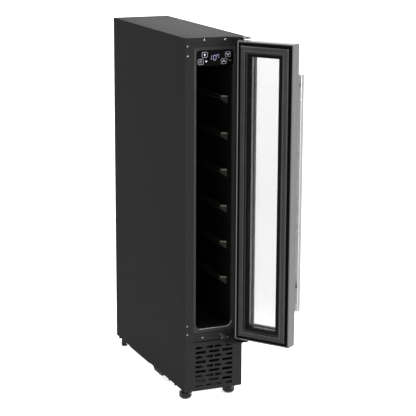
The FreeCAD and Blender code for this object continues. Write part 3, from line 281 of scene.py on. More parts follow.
# One finish for each of the record's material slots
SURFACES = {
    "dark_paint": powder_coat("dark_paint", (0.0152, 0.0152, 0.015)),
    "galvanised": galvanised("galvanised", (0.5, 0.51, 0.52)),
    "stainless": brushed("stainless", (0.118, 0.118, 0.118), rough=0.3),
    "steel_screw": plain_metal("steel_screw", (0.2, 0.2, 0.2), rough=0.3),
    "gloss_black": gloss("gloss_black", (0.001, 0.001, 0.0012), rough=0.12, specular=0.03),
    "black_plastic": moulded("black_plastic", (0.01, 0.01, 0.01), rough=0.45, specular=0.2),
    "liner_plastic": moulded("liner_plastic", (0.004, 0.004, 0.004), rough=0.42, specular=0.15),
    "trim_plastic": moulded("trim_plastic", (0.02, 0.02, 0.0196), rough=0.45, specular=0.05),
    "frame_plastic": moulded("frame_plastic", (0.004, 0.004, 0.004), rough=0.45, specular=0.03),
    "foam": speckled("foam", (0.72, 0.6, 0.32), spread=0.12, rough=0.85, scale=400),
    "gasket_rubber": soft_rubber("gasket_rubber", (0.031, 0.031, 0.031), rough=0.5),
    "black_rubber": soft_rubber("black_rubber", (0.006, 0.006, 0.006), rough=0.5),
    "clear_glass": glass("clear_glass", (0.7, 0.703, 0.7)),
    "spacer_aluminium": perforated_bar("spacer_aluminium", (0.7, 0.7, 0.7), pitch=4.2 * MM),
    "fin_aluminium": plain_metal("fin_aluminium", (0.72, 0.73, 0.74), rough=0.35),
    "copper": plain_metal("copper", (0.72, 0.36, 0.2), rough=0.3),
    "pump_black": gloss("pump_black", (0.004, 0.004, 0.0045), rough=0.3, specular=0.3),
    "board_green": speckled("board_green", (0.02, 0.13, 0.05), spread=0.15, rough=0.4, scale=500),
    "lamp_white": gloss("lamp_white", (0.8, 0.82, 0.85), rough=0.3),
    "fan_plastic": moulded("fan_plastic", (0.018, 0.018, 0.02), rough=0.42),
}

# Finishes of details that share a slot with something else
# Painted highlight: the warm light on the top of each ledge's front end
LEDGE_TAN_HIGHLIGHT = moulded("ledge_tan_highlight", (0.12, 0.106, 0.07), rough=0.45, specular=0.2)
# A light colour that paints highlight lines along edges
PAINTED_HIGHLIGHT_EDGE = gloss("painted_highlight_edge", (0.2, 0.195, 0.18), rough=0.2, specular=0.6)
PIN_STEEL = plain_metal("pin_steel", (0.6, 0.6, 0.6), rough=0.25)
FOOT_GLOSS = gloss("foot_gloss", (0.002, 0.002, 0.002), rough=0.14, specular=0.22)
# Lighter and darker copies of the seal's rubber: painted highlight on its ridges, painted shade in its creases
SEAL_RIDGE_HIGHLIGHT = soft_rubber("seal_ridge_highlight", (0.062, 0.062, 0.062), rough=0.4)
SEAL_SHADE = soft_rubber("seal_shade", (0.005, 0.005, 0.005), rough=0.5)
# Lighter strips on the ledges' noses: painted highlight lines
LEDGE_EDGE_HIGHLIGHT = moulded("ledge_edge_highlight", (0.05, 0.046, 0.052), rough=0.4, specular=0.3)
BAR_STEEL = brushed("bar_steel", (0.24, 0.24, 0.24), rough=0.3)
# Near-white steel for the handle bar's inner face: a painted reflection of the bright room
BAR_INSIDE_REFLECTION = plain_metal("bar_painted_reflection", (0.95, 0.95, 0.95), rough=0.3)
# A lighter copy of the stainless for the door frame's front faces: painted light and shade by the way the faces
# point
FRONT_STEEL_PAINTED_LIGHT = brushed("front_steel_painted_light", (0.25, 0.25, 0.25), rough=0.3)
UNDERSIDE = moulded("underside", (0.004, 0.004, 0.004), rough=0.5, specular=0.1)
# A dark cross on each screw head: painted shade standing in for the recess
RECESS_SHADE = moulded("screw_recess_shade", (0.004, 0.004, 0.004), rough=0.6)
ICON_INK = glowing("icon_ink", (0.22, 0.22, 0.26), strength=0.12)
MARK_INK = glowing("mark_ink", (0.12, 0.11, 0.09), strength=0.04)
ICON_BRIGHT = glowing("icon_bright", (0.55, 0.55, 0.6), strength=0.35)
DIGIT_GLOW = glowing("digit_glow", (0.42, 0.33, 0.6), strength=0.36)
LED_GLOW = glowing("led_glow", (0.95, 0.95, 1.0), strength=1.0)

for name, obj in frame["nodes"].items():
    surface = SURFACES[node_slot[name]]
    for slot in obj.material_slots:
        slot.material = surface
    if not obj.material_slots:
        obj.data.materials.append(surface)


# ---------------------------------------------------------------- mesh helpers

SAME_POINT = 1e-6
FLAT_ANGLE = math.radians(0.5)


def in_metres(points):
    """Points given in millimetres."""
    return [(across * MM, along * MM) for across, along in points]


def add_object(name, mesh, material, body, replaced=()):
    """Adds a piece that rides on a body and stands for the CAD nodes it replaces."""
    piece = bpy.data.objects.new(name, mesh)
    bpy.context.scene.collection.objects.link(piece)
    # Clearing the materials also resets each face's choice, so a new mesh keeps its own.
    if mesh.materials:
        mesh.materials.clear()
    mesh.materials.append(material)
    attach(piece, body)
    if replaced:
        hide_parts(*replaced)
    return piece


def from_bmesh(bm, name, smooth_deg=None):
    """Turns a bmesh into a mesh; edges sharper than smooth_deg stay sharp."""
    mesh = bpy.data.meshes.new(name)
    bmesh.ops.recalc_face_normals(bm, faces=bm.faces)
    bm.to_mesh(mesh)
    bm.free()
    if smooth_deg is not None:
        mesh.shade_smooth()
        mesh.set_sharp_from_angle(angle=math.radians(smooth_deg))
    return mesh


def round_edges(piece, radius, segments=3, angle=35):
    """Rounds the edges that turn by more than an angle, and keeps flat faces flat in shading."""
    bevel = piece.modifiers.new("round_edges", "BEVEL")
    bevel.width = radius
    bevel.segments = segments
    bevel.limit_method = "ANGLE"
    bevel.angle_limit = math.radians(angle)
    bevel.harden_normals = True
    bevel.use_clamp_overlap = True
    piece.data.shade_smooth()
    even = piece.modifiers.new("even_faces", "WEIGHTED_NORMAL")
    even.keep_sharp = True
    even.weight = 100


def softened(node, radius, segments=3, material=None):
    """The CAD node's own shape with its edges rounded."""
    mesh = frame["nodes"][node].data.copy()
    bm = bmesh.new()
    bm.from_mesh(mesh)
    bmesh.ops.remove_doubles(bm, verts=bm.verts, dist=SAME_POINT)
    bmesh.ops.dissolve_limit(bm, angle_limit=FLAT_ANGLE, verts=bm.verts, edges=bm.edges)
    bm.to_mesh(mesh)
    bm.free()
    slot = node_slot[node]
    surface = material or SURFACES[slot]
    piece = add_object(f"{node}_shell", mesh, surface, node_body[node], (node,))
    round_edges(piece, radius, segments)
    return piece


def box_of(points):
    """The lowest and highest corners of a set of points."""
    low = Vector([min(point[axis] for point in points) for axis in range(3)])
    high = Vector([max(point[axis] for point in points) for axis in range(3)])
    return low, high


def islands(node):
    """The boxes of a node's separate solids, in order of height."""
    bm = bmesh.new()
    bm.from_mesh(frame["nodes"][node].data)
    bmesh.ops.remove_doubles(bm, verts=bm.verts, dist=SAME_POINT)
    seen, boxes = set(), []
    for start in bm.verts:
        if start in seen:
            continue
        group, waiting = [], [start]
        seen.add(start)
        while waiting:
            vertex = waiting.pop()
            group.append(vertex.co.copy())
            for edge in vertex.link_edges:
                other = edge.other_vert(vertex)
                if other not in seen:
                    seen.add(other)
                    waiting.append(other)
        boxes.append(box_of(group))
    bm.free()
    return sorted(boxes, key=lambda pair: (round(pair[0].z, 4), pair[0].x))


def shut_box(node):
    """A door node's box with the door shut."""
    return box_of([TO_SHUT @ vertex.co for vertex in frame["nodes"][node].data.vertices])


def door_point(x_side, z_side, inset, rise):
    """A place on the shut door: inset from two of its edges and risen from its inner plane."""
    (left, _, low), (right, back, high) = DOOR_EDGE
    x = left + inset if x_side < 0 else right - inset
    z = low + inset if z_side < 0 else high - inset
    return Vector((x, back + rise, z))


def door_ring(name, profile, slot, replaced, radius, painted_strips):
    """Sweeps a closed profile round the door with mitred corners.

    The profile's points are (inset from the door's edge, rise from its inner plane).
    Each painted strip is a material that paints a highlight or a shade on the seal, and the profile's strips that
    have it.
    """
    bm = bmesh.new()
    loops = []
    for corner in DOOR_CORNERS:
        loops.append([bm.verts.new(door_point(*corner, *point)) for point in profile])
    for here, after in zip(loops, loops[1:] + loops[:1]):
        for index in range(len(profile)):
            following = (index + 1) % len(profile)
            face = bm.faces.new((here[index], here[following], after[following], after[index]))
            for number, (_, strips) in enumerate(painted_strips, 1):
                if index in strips:
                    face.material_index = number
    bm.transform(TO_OPEN)
    mesh = from_bmesh(bm, name)
    piece = add_object(name, mesh, SURFACES[slot], "door", replaced)
    for surface, _ in painted_strips:
        mesh.materials.append(surface)
    round_edges(piece, radius, 2, 20)


def turned(bm, profile, centre, axis, steps):
    """Spins a profile of (radius, distance along the axis) into a closed round solid."""
    rings = []
    for radius, along in profile:
        ring = []
        for step in range(steps):
            turn = 2 * math.pi * step / steps
            across, up = radius * math.cos(turn), radius * math.sin(turn)
            offset = {"z": (across, up, along), "y": (across, along, up)}[axis]
            ring.append(bm.verts.new(Vector(centre) + Vector(offset)))
        rings.append(ring)
    for low, high in zip(rings, rings[1:]):
        for step in range(steps):
            after = (step + 1) % steps
            bm.faces.new((low[step], low[after], high[after], high[step]))
    bm.faces.new(rings[0])
    bm.faces.new(rings[-1])


def prism(bm, points, low, high, plane="xz"):
    """A solid between two levels, from its outline: xz outlines stand upright, xy ones lie flat."""

    def corner(point, level):
        if plane == "xz":
            return (point[0], level, point[1])
        return (point[0], point[1], level)

    front = [bm.verts.new(corner(point, low)) for point in points]
    back = [bm.verts.new(corner(point, high)) for point in points]
    bm.faces.new(front)
    bm.faces.new(back)
    for index in range(len(points)):
        after = (index + 1) % len(points)
        bm.faces.new((front[index], front[after], back[after], back[index]))


def band(bm, outer, inner, low, high):
    """An upright ring between two outlines with the same number of (x, z) points."""
    loops = [
        [bm.verts.new((x, level, z)) for x, z in outline]
        for outline in (outer, inner)
        for level in (low, high)
    ]
    outer_front, outer_back, inner_front, inner_back = loops
    for first, second in (
        (outer_front, outer_back),
        (inner_back, inner_front),
        (inner_front, outer_front),
        (outer_back, inner_back),
    ):
        for index in range(len(outer)):
            after = (index + 1) % len(outer)
            bm.faces.new((first[index], first[after], second[after], second[index]))


def rounded(centre, half, lower, upper=None, steps=5):
    """A rectangle with round corners as (x, z) points, counterclockwise from the lower right.

    The upper corners have the lower ones' radius, unless they are given their own.
    """
    points = []
    corners = ((1, -1, -90), (1, 1, 0), (-1, 1, 90), (-1, -1, 180))
    for x_side, z_side, start in corners:
        radius = lower if z_side < 0 or upper is None else upper
        x = centre[0] + x_side * (half[0] - radius)
        z = centre[1] + z_side * (half[1] - radius)
        for step in range(steps + 1):
            turn = math.radians(start + 90 * step / steps)
            points.append((x + radius * math.cos(turn), z + radius * math.sin(turn)))
    return points


def strokes(bm, lines, width, low, high):
    """Straight strokes of one width, each from one (x, z) point to another."""
    for (x0, z0), (x1, z1) in lines:
        along = Vector((x1 - x0, z1 - z0)).normalized() * width / 2
        side = Vector((-along.y, along.x))
        ends = ((x0, z0, -1), (x1, z1, 1))
        outline = [
            (x + end * along.x + turn * side.x, z + end * along.y + turn * side.y)
            for x, z, end in ends
            for turn in (end, -end)
        ]
        prism(bm, outline, low, high)


# ---------------------------------------------------------------- carcass

DOOR_EDGE = shut_box("door_outer_frame")
DOOR_CORNERS = ((-1, -1), (1, -1), (1, 1), (-1, 1))
CARCASS_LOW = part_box("cabinet_wrapper")[0]
FLANGE = CARCASS_LOW.y

# How far each node's edges are rounded, in millimetres
SOFT_EDGES = {
    "cabinet_wrapper": 0.7,
    "lower_front_rail": 0.35,
    "front_grille": 0.5,
    "mouth_trim_frame": 0.4,
    "base_pan": 0.5,
    "rear_panel": 0.3,
    "rear_lower_cover": 0.3,
    "top_hinge_plate": 0.5,
    "bottom_hinge_bracket": 0.5,
    "control_panel": 0.4,
    "control_housing": 0.5,
}
for node, edge_radius in SOFT_EDGES.items():
    softened(node, edge_radius * MM)
softened("hinge_pins", 0.6 * MM, material=PIN_STEEL)
for side in ("left", "right"):
    softened(f"bottle_ledges_{side}", 0.6 * MM)

# A pan head's outline in millimetres: radius, distance behind its seat
HEAD_OUTLINE = [
    (1.5, 6.0), (1.5, 0), (2.2, 0), (2.2, -0.45), (2.05, -0.85), (1.7, -1.12),
    (1.1, -1.3), (0.5, -1.38), (0.2, -1.4),
]
HEAD_HEIGHT = 1.4 * MM
CROSS_ARM, CROSS_WAIST, CROSS_CORNER = 1.0 * MM, 0.25 * MM, 0.1 * MM
CROSS_FRONT, CROSS_BACK = 1.41 * MM, 0.9 * MM


def screw_heads(node):
    """Pan heads on the CAD's screws, each with a dark cross that paints the shade of its cross recess."""
    heads, crosses = bmesh.new(), bmesh.new()
    for low, high in islands(node):
        middle = (low + high) / 2
        seat = low.y + HEAD_HEIGHT
        turned(heads, in_metres(HEAD_OUTLINE), (middle.x, seat, middle.z), "y", 28)
        # Painted shade: a dark cross, flush with the head, where the recess would be
        for half in ((CROSS_ARM, CROSS_WAIST), (CROSS_WAIST, CROSS_ARM)):
            outline = rounded((middle.x, middle.z), half, CROSS_CORNER, steps=2)
            prism(crosses, outline, seat - CROSS_FRONT, seat - CROSS_BACK)
    body, slot = node_body[node], node_slot[node]
    mesh = from_bmesh(heads, f"{node}_heads", 40)
    add_object(f"{node}_heads", mesh, SURFACES[slot], body, (node,))
    mesh = from_bmesh(crosses, f"{node}_crosses")
    add_object(f"{node}_crosses", mesh, RECESS_SHADE, body)


screw_heads("flange_screws")
screw_heads("hinge_screws")


TRIM_LOW, TRIM_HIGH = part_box("mouth_trim_frame")
MOUTH_HALF = TRIM_HIGH.x - 6.3 * MM
MOUTH_LOW, MOUTH_HIGH = TRIM_LOW.z + 7.8 * MM, TRIM_HIGH.z - 8.0 * MM
MOUTH_LOWER_RADIUS, MOUTH_UPPER_RADIUS = 15 * MM, 8 * MM
BEAD_START = -38 * MM
BEAD_DEPTH, BEAD_RADIUS = 2.0 * MM, 0.9 * MM
BEAD_STEPS = 10


def mouth_highlight_bead():
    """A glossy round bead along the bottom of the mouth and round its lower right corner, lighter than the trim: a
    painted highlight along the mouth's edge.
    """
    centre = (0, (MOUTH_LOW + MOUTH_HIGH) / 2)
    half = (MOUTH_HALF, (MOUTH_HIGH - MOUTH_LOW) / 2)
    outline = rounded(centre, half, MOUTH_LOWER_RADIUS, MOUTH_UPPER_RADIUS, BEAD_STEPS)
    path = [(BEAD_START, MOUTH_LOW)] + outline[:BEAD_STEPS]
    bm = bmesh.new()
    rings = []
    for index, (x, z) in enumerate(path):
        before = Vector(path[max(index - 1, 0)])
        after = Vector(path[min(index + 1, len(path) - 1)])
        along = (after - before).normalized()
        inward = Vector((-along.y, along.x))
        ring = []
        for step in range(BEAD_STEPS):
            turn = 2 * math.pi * step / BEAD_STEPS
            at = Vector((x, z)) + inward * BEAD_RADIUS * math.cos(turn)
            depth = FLANGE + BEAD_DEPTH + BEAD_RADIUS * math.sin(turn)
            ring.append(bm.verts.new((at.x, depth, at.y)))
        rings.append(ring)
    for here, following in zip(rings, rings[1:]):
        for step in range(BEAD_STEPS):
            after = (step + 1) % BEAD_STEPS
            bm.faces.new((here[step], here[after], following[after], following[step]))
    bm.faces.new(rings[0])
    bm.faces.new(rings[-1])
    mesh = from_bmesh(bm, "mouth_highlight_bead", 60)
    add_object("mouth_highlight_bead", mesh, PAINTED_HIGHLIGHT_EDGE, "cabinet")


mouth_highlight_bead()


SLANT_DEPTH = 9.0 * MM
STRIP_THICK, STRIP_LOW, STRIP_HIGH = 0.8 * MM, 3.2 * MM, 0.1 * MM
STRIP_ROOT, STRIP_TIP = 0.3 * MM, 0.8 * MM


def ledge_fronts(side, sign):
    """A thin tan strip of painted highlight along the top of each ledge's slanting front end."""
    bm = bmesh.new()
    for low, high in islands(f"bottle_ledges_{side}"):
        wall, nose = (high.x, low.x) if sign > 0 else (low.x, high.x)
        root = Vector((wall - sign * STRIP_ROOT, low.y))
        tip = Vector((nose + sign * STRIP_TIP, low.y + SLANT_DEPTH))
        along = (tip - root).normalized()
        outward = Vector((along.y * -sign, along.x * sign)) * STRIP_THICK
        points = [root, tip, tip + outward, root + outward]
        prism(bm, points, high.z - STRIP_LOW, high.z - STRIP_HIGH, "xy")
    mesh = from_bmesh(bm, f"ledge_fronts_{side}")
    add_object(f"ledge_fronts_{side}", mesh, LEDGE_TAN_HIGHLIGHT, "cabinet")


LIP_PROUD, LIP_SUNK, LIP_END = 0.25 * MM, 0.9 * MM, 12 * MM
# Each lip: how far its lower edge is below the ledge's top, and its height
LOWER_LIP, UPPER_LIP = (9.2 * MM, 1.3 * MM), (0.7 * MM, 0.75 * MM)


def ledge_highlight_lips(side, sign):
    """Thin lighter lips along the nose of each ledge on one side: painted highlight lines on the nose's edges."""
    bm = bmesh.new()
    for low, high in islands(f"bottle_ledges_{side}"):
        nose = low.x if sign > 0 else high.x
        left, right = sorted((nose - sign * LIP_PROUD, nose + sign * LIP_SUNK))
        for drop, tall in (LOWER_LIP, UPPER_LIP):
            bottom = high.z - drop
            top = bottom + tall
            outline = [(left, bottom), (right, bottom), (right, top), (left, top)]
            prism(bm, outline, low.y + LIP_END, high.y - LIP_END)
    mesh = from_bmesh(bm, f"ledge_highlight_lips_{side}")
    add_object(f"ledge_highlight_lips_{side}", mesh, LEDGE_EDGE_HIGHLIGHT, "cabinet")


for side, sign in (("left", -1), ("right", 1)):
    ledge_fronts(side, sign)
    ledge_highlight_lips(side, sign)


# The panel's print, in millimetres from the panel's centre
KEYS = {"bulb": (-25.2, 8.0), "power": (-35.0, -7.6), "down": (32.4, 7.4), "up": (22.2, -8.0)}
KEY_HALF, KEY_CORNER, KEY_LINE = (6.9, 6.5), 3.2, 0.8
MARK_LINES = [
    [(31.6, -3.4), (32.6, -6.0)],
    [(34.4, -5.2), (36.4, -6.6)],
    [(36.6, -8.0), (38.0, -6.0)],
    [(39.6, -6.4), (41.2, -6.6)],
    [(38.6, -9.0), (39.8, -8.0)],
]
SEGMENT_ENDS = {
    "a": ((-1, 1), (1, 1)), "b": ((1, 1), (1, 0)), "c": ((1, 0), (1, -1)),
    "d": ((-1, -1), (1, -1)), "e": ((-1, 0), (-1, -1)), "f": ((-1, 1), (-1, 0)),
}
SEGMENT_WIDTH, SEGMENT_GAP, DIGIT_SLANT = 0.75, 1.0, 0.09
RING_AT, RING_OUTER, RING_INNER = (6.0, 7.4), 1.2, 0.6
LAMP_AT, LAMP_RADIUS = (-21.4, -7.1), 1.3
PANEL_LOW, PANEL_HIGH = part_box("control_panel")
PANEL_CENTRE = (PANEL_LOW + PANEL_HIGH) / 2
PRINT_FRONT, PRINT_BACK = PANEL_LOW.y - 0.08 * MM, PANEL_LOW.y + 0.1 * MM


def on_panel(points):
    """Points in millimetres from the panel's centre, as places in the frame."""
    return [(PANEL_CENTRE.x + x * MM, PANEL_CENTRE.z + z * MM) for x, z in points]


def printed_shape(bm, centre, half, corner, steps=5):
    """A filled rectangle with round corners on the panel."""
    outline = on_panel(rounded(centre, half, corner, steps=steps))
    prism(bm, outline, PRINT_FRONT, PRINT_BACK)


def printed_ring(bm, centre, half, corner, line, steps=5):
    """The outline of a rectangle with round corners on the panel."""
    inside = (half[0] - line, half[1] - line)
    outer = on_panel(rounded(centre, half, corner, steps=steps))
    inner = on_panel(rounded(centre, inside, corner - line, steps=steps))
    band(bm, outer, inner, PRINT_FRONT, PRINT_BACK)


def printed_lines(bm, lines, width):
    """Straight lines on the panel."""
    strokes(bm, [on_panel(line) for line in lines], width * MM, PRINT_FRONT, PRINT_BACK)


def add_print(bm, name, material):
    add_object(name, from_bmesh(bm, name), material, "cabinet")


def power_picture(bm, x, z):
    """An arc that is open at the top, with a stroke down into the gap."""
    radius, drop = 2.9, 0.3
    turns = [math.radians(45 + 30 * step) for step in range(10)]
    arc = [(x + radius * math.sin(turn), z - drop + radius * math.cos(turn)) for turn in turns]
    printed_lines(bm, list(zip(arc, arc[1:])), 1.0)
    printed_lines(bm, [[(x, z + 3.4), (x, z + 0.2)]], 1.1)


def arrow_picture(bm, x, z, lift):
    """A chevron: its arms end at lift and its tip is as far the other way."""
    for reach in (-3.8, 3.8):
        printed_lines(bm, [[(x + reach, z + lift), (x, z - lift)]], 1.0)


def key_prints():
    """The keys' outlines and their pictures."""
    ink, bright = bmesh.new(), bmesh.new()
    for key, (x, z) in KEYS.items():
        printed_ring(ink, (x, z), KEY_HALF, KEY_CORNER, KEY_LINE)
        if key == "bulb":
            printed_shape(bright, (x, z + 0.8), (1.6, 1.8), 1.6)
            printed_shape(bright, (x, z - 2.2), (0.9, 0.9), 0.3)
        elif key == "power":
            power_picture(ink, x, z)
        else:
            arrow_picture(bright, x, z, 2.5 if key == "down" else -2.5)
    add_print(bright, "panel_key_pictures", ICON_BRIGHT)
    add_print(ink, "panel_keys", ICON_INK)


def digit(bm, centre, half_x, half_z, names):
    """The named segments of one slanting digit."""
    lines = []
    for name in names:
        ends = [
            Vector((centre[0] + x * half_x + DIGIT_SLANT * z * half_z, centre[1] + z * half_z))
            for x, z in SEGMENT_ENDS[name]
        ]
        gap = (ends[1] - ends[0]).normalized() * SEGMENT_GAP
        lines.append((ends[0] + gap, ends[1] - gap))
    printed_lines(bm, lines, SEGMENT_WIDTH)


def digit_prints():
    """The temperature: 1, 0, the ring of a degree sign and C."""
    digits = bmesh.new()
    digit(digits, (-8.4, 1.4), 0.0, 5.6, "bc")
    digit(digits, (-0.2, 0.8), 3.3, 5.7, "abcdef")
    digit(digits, (9.9, 3.8), 1.5, 3.0, "adef")
    printed_ring(digits, RING_AT, (RING_OUTER,) * 2, RING_OUTER, RING_OUTER - RING_INNER, 3)
    add_print(digits, "panel_digits", DIGIT_GLOW)


def panel_print():
    """Everything that is printed or lit on the control panel."""
    key_prints()
    marks = bmesh.new()
    printed_lines(marks, MARK_LINES, 0.9)
    add_print(marks, "panel_marks", MARK_INK)
    digit_prints()
    dot = bmesh.new()
    printed_shape(dot, LAMP_AT, (LAMP_RADIUS,) * 2, LAMP_RADIUS)
    add_print(dot, "panel_lamp_dot", LED_GLOW)


panel_print()

FOOT_BEVELS = {"front": 5.0, "rear": 2.0}
FOOT_TOP, FOOT_RIM, FOOT_SIDES = 16.0, 0.4, 12
NECK_RADIUS, NECK_TOP = 8.0, 24.0
STUD_RADIUS, STUD_TOP, STUD_POINT, STUD_BEVEL = 3.95, 44.0, 3.5, 0.4


def feet():
    """Faceted feet with a neck and stud, from the floor up, in millimetres."""
    for node in [name for name in frame["nodes"] if name.startswith("foot_") and name != "foot_nuts"]:
        low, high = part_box(node)
        middle = (low + high) / 2
        reach = (high.x - low.x) / 2 / MM
        bevel = FOOT_BEVELS["front" if "front" in node else "rear"]
        outline = [
            (reach - bevel, 0), (reach, bevel),
            (reach, FOOT_TOP - FOOT_RIM), (reach - FOOT_RIM, FOOT_TOP),
            (NECK_RADIUS, FOOT_TOP), (NECK_RADIUS, NECK_TOP),
            (STUD_RADIUS, NECK_TOP), (STUD_RADIUS, STUD_TOP - STUD_BEVEL), (STUD_POINT, STUD_TOP),
        ]
        bm = bmesh.new()
        turned(bm, in_metres(outline), (middle.x, middle.y, low.z), "z", FOOT_SIDES)
        mesh = from_bmesh(bm, f"{node}_facets")
        piece = add_object(f"{node}_facets", mesh, FOOT_GLOSS, node, (node,))
        round_edges(piece, 0.4 * MM, 2, 20)


feet()


# Mouldings under the left edge, in millimetres: front y, back y, drop, width
UNDERSIDE_LEFT = CARCASS_LOW.x + 0.8 * MM
UNDERSIDE_PARTS = {
    "skirt strip": (-6, 150, 3.4, 5.2),
    "drip tray": (-93, -27, 9.0, 33.2),
    "middle clip": (-136, -130, 5.0, 4.2),
    "front clip": (-176, -169, 5.0, 4.2),
    "rear clip": (222, 228, 6.0, 4.2),
}
UNDERSIDE_SUNK, LONGEST_SLOPE = 0.3, 8


def underside_parts():
    """Low mouldings under the left edge of the carcass, with sloping ends."""
    bm = bmesh.new()
    for front, back, drop, width in UNDERSIDE_PARTS.values():
        slope = min(LONGEST_SLOPE, (back - front) / 4)
        outline = in_metres([
            (front, -UNDERSIDE_SUNK), (back, -UNDERSIDE_SUNK), (back - slope, -drop), (front + slope, -drop)
        ])
        near = [bm.verts.new((UNDERSIDE_LEFT, y, z)) for y, z in outline]
        far = [bm.verts.new((UNDERSIDE_LEFT + width * MM, y, z)) for y, z in outline]
        bm.faces.new(near)
        bm.faces.new(far)
        for index in range(4):
            after = (index + 1) % 4
            bm.faces.new((near[index], near[after], far[after], far[index]))
    mesh = from_bmesh(bm, "underside_parts")
    piece = add_object("underside_parts", mesh, UNDERSIDE, "cabinet")
    round_edges(piece, 0.5 * MM, 2)


underside_parts()


# The lower hinge bracket's rib and the painted highlight lines beside it, in millimetres from the bracket's lower
# left
BRACKET_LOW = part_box("bottom_hinge_bracket")[0]
RIB_LINE, RIB_WIDTH = [(-0.5, 18.0), (17.5, 4.0)], 1.8
RIB_GLINT_LINES, RIB_GLINT_WIDTH = [[(2.0, 18.2), (19.2, 4.8)], [(-1.4, 16.4), (15.6, 3.2)]], 0.5
RIB_FRONT, RIB_GLINT_FRONT, RIB_BACK = FLANGE - 2.9 * MM, FLANGE - 3.1 * MM, FLANGE - 1.9 * MM


def on_bracket(line):
    return [(BRACKET_LOW.x + x * MM, BRACKET_LOW.z + z * MM) for x, z in line]


def bracket_rib():
    """The pressed rib across the lower hinge bracket's face, with two painted highlight lines beside it."""
    rib, edges = bmesh.new(), bmesh.new()
    strokes(rib, [on_bracket(RIB_LINE)], RIB_WIDTH * MM, RIB_FRONT, RIB_BACK)
    mesh = from_bmesh(rib, "bracket_rib")
    piece = add_object("bracket_rib", mesh, UNDERSIDE, "cabinet")
    round_edges(piece, 0.6 * MM, 3, 30)
    # Painted glints: light strokes beside the rib
    lines = [on_bracket(line) for line in RIB_GLINT_LINES]
    strokes(edges, lines, RIB_GLINT_WIDTH * MM, RIB_GLINT_FRONT, RIB_BACK)
    mesh = from_bmesh(edges, "bracket_rib_glints")
    add_object("bracket_rib_glints", mesh, PAINTED_HIGHLIGHT_EDGE, "cabinet")


bracket_rib()

# ---------------------------------------------------------------- door

door_frame = softened("door_outer_frame", 0.9 * MM)
softened("door_inner_frame", 0.8 * MM)
softened("glass_bead", 0.4 * MM)


def paint_light_on_faces(piece, towards, material):
    """Paints light on the flat faces that point one way in the shut door's frame, with a lighter material of their
    own.
    """
    piece.data.materials.append(material)
    direction = TO_OPEN.to_3x3() @ Vector(towards)
    for polygon in piece.data.polygons:
        if polygon.normal.dot(direction) > 0.95:
            polygon.material_index = 1


# Painted light: the door frame's front faces are lighter than its other faces
paint_light_on_faces(door_frame, (0, -1, 0), FRONT_STEEL_PAINTED_LIGHT)
# Painted reflection: the handle bar's inner face is near-white
paint_light_on_faces(softened("handle_bar", 1.2 * MM, 4, BAR_STEEL), (0, 1, 0), BAR_INSIDE_REFLECTION)
softened("handle_posts", 0.8 * MM)

# The seal's section in millimetres: inset from the door's edge, rise from its inner plane
SEAL = [
    (12.5, -4), (12.5, 0), (11.0, 0.3), (11.0, 3.6), (11.6, 5.0), (12.7, 5.7), (14.0, 5.3),
    (14.9, 4.7), (21.0, 4.7), (21.8, 5.4), (22.5, 5.6), (23.1, 5.0), (23.6, 3.2), (24.6, 2.4),
    (26.5, 2.2), (27.3, 1.6), (27.3, 0), (25.6, 0), (25.6, -4),
]
# Strips with painted highlight on the seal's ridges and painted shade in its creases
HIGHLIGHT_STRIPS, SHADED_STRIPS = (8, 9, 10), (11, 12, 15, 16)
door_ring(
    "gasket_lips",
    in_metres(SEAL),
    "gasket_rubber",
    replaced=("door_gasket",),
    radius=0.25 * MM,
    painted_strips=((SEAL_RIDGE_HIGHLIGHT, HIGHLIGHT_STRIPS), (SEAL_SHADE, SHADED_STRIPS)),
)

WELD_HALF, WELD_SUNK, WELD_PROUD = 0.55 * MM, 0.3 * MM, 0.2 * MM
LOWEST_WELD = 0.5


def seal_welds():
    """The raised weld lines where the seal's lengths meet at the mitred corners, in the seal's lighter rubber that
    paints a highlight on them.
    """
    crest = in_metres([(inset, rise) for inset, rise in SEAL if rise > LOWEST_WELD])
    bm = bmesh.new()
    for x_side, z_side in DOOR_CORNERS:
        across = Vector((x_side, 0, -z_side)) * WELD_HALF
        sunk, proud = Vector((0, -WELD_SUNK, 0)), Vector((0, WELD_PROUD, 0))
        rows = []
        for point in crest:
            middle = door_point(x_side, z_side, *point)
            rows.append([bm.verts.new(middle + step) for step in (sunk + across, proud, sunk - across)])
        for here, after in zip(rows, rows[1:]):
            for index in range(3):
                following = (index + 1) % 3
                bm.faces.new((here[index], here[following], after[following], after[index]))
        bm.faces.new(rows[0])
        bm.faces.new(rows[-1])
    bm.transform(TO_OPEN)
    mesh = from_bmesh(bm, "gasket_welds", 50)
    add_object("gasket_welds", mesh, SEAL_RIDGE_HIGHLIGHT, "door")


seal_welds()


# ---------------------------------------------------------------- camera, light and floor

# The camera looks right of +Y by its turn and down by its dip.
CAMERA_AT = Vector((-1.3529, -3.3739, 1.2450))
CAMERA_TURN = math.radians(23.11)
CAMERA_DIP = math.radians(13.16)
CAMERA_ROLL = math.radians(0.25)
CAMERA_LENS, SENSOR_WIDTH = 129.45, 36.0
FARTHEST_SEEN = 60.0

FLOOR_RADIUS = 40.0
FLOOR_GLOW, ROOM_GLOW = 0.5, 1.2
# Soft lights: name, place, what each is aimed at, size, watts, spread in degrees
LIGHTS = (
    ("overhead", (0.03, -0.02, 1.45), (0.03, -0.02, 0.85), (0.2, 0.6), 2.9, 40),
    ("front_right", (3.0, -3.3, 0.7), (0, -0.2, 0.5), (1.2, 1.0), 15, 40),
    ("far_floor", (4.2, 9.0, 4.0), (3.2, 7.5, 0), (4.0, 4.0), 120, 180),
)


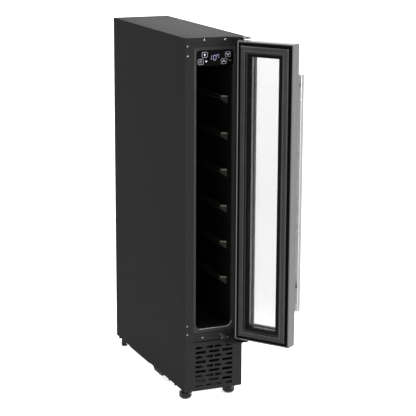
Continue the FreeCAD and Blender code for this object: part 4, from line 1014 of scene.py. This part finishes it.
def look():
    """Sets up the camera."""
    camera = bpy.data.objects.new("camera", bpy.data.cameras.new("camera"))
    camera.data.lens = CAMERA_LENS
    camera.data.sensor_width = SENSOR_WIDTH
    camera.data.clip_end = FARTHEST_SEEN
    turn = (
        Matrix.Rotation(-CAMERA_TURN, 4, "Z")
        @ Matrix.Rotation(math.pi / 2 - CAMERA_DIP, 4, "X")
        @ Matrix.Rotation(CAMERA_ROLL, 4, "Z")
    )
    camera.matrix_world = Matrix.Translation(CAMERA_AT) @ turn
    bpy.context.scene.collection.objects.link(camera)
    bpy.context.scene.camera = camera


def soft_light(name, at, towards, size, power, spread):
    lamp = bpy.data.lights.new(name, "AREA")
    lamp.shape = "RECTANGLE"
    lamp.size, lamp.size_y = size
    lamp.energy = power
    lamp.spread = math.radians(spread)
    holder = bpy.data.objects.new(name, lamp)
    holder.location = at
    holder.rotation_euler = (Vector(towards) - Vector(at)).to_track_quat("-Z", "Y").to_euler()
    bpy.context.scene.collection.objects.link(holder)


def lay_floor():
    """A round white floor at the feet's level that glows a little."""
    bm = bmesh.new()
    bmesh.ops.create_circle(bm, cap_ends=True, segments=96, radius=FLOOR_RADIUS)
    mesh = from_bmesh(bm, "floor")
    floor = bpy.data.objects.new("floor", mesh)
    floor.location.z = cad_bounds[0][2]
    surface = Surface("floor_paint", Specular_IOR_Level=0.2)
    mottled(surface, (0.985, 0.985, 0.985), spread=0.01, scale=2)
    surface.roughness(surface.noise(3), low=0.6, high=0.7)
    surface.shader.inputs["Emission Color"].default_value = (1, 1, 1, 1)
    surface.shader.inputs["Emission Strength"].default_value = FLOOR_GLOW
    mesh.materials.append(surface.material)
    bpy.context.scene.collection.objects.link(floor)


def studio():
    """The floor, an even white room and the soft lights."""
    lay_floor()
    world = bpy.data.worlds.new("studio")
    world.use_nodes = True
    world.node_tree.nodes["Background"].inputs["Color"].default_value = (1, 1, 1, 1)
    world.node_tree.nodes["Background"].inputs["Strength"].default_value = ROOM_GLOW
    bpy.context.scene.world = world
    for light in LIGHTS:
        soft_light(*light)


look()
studio()
bpy.context.scene.view_settings.view_transform = "Standard"
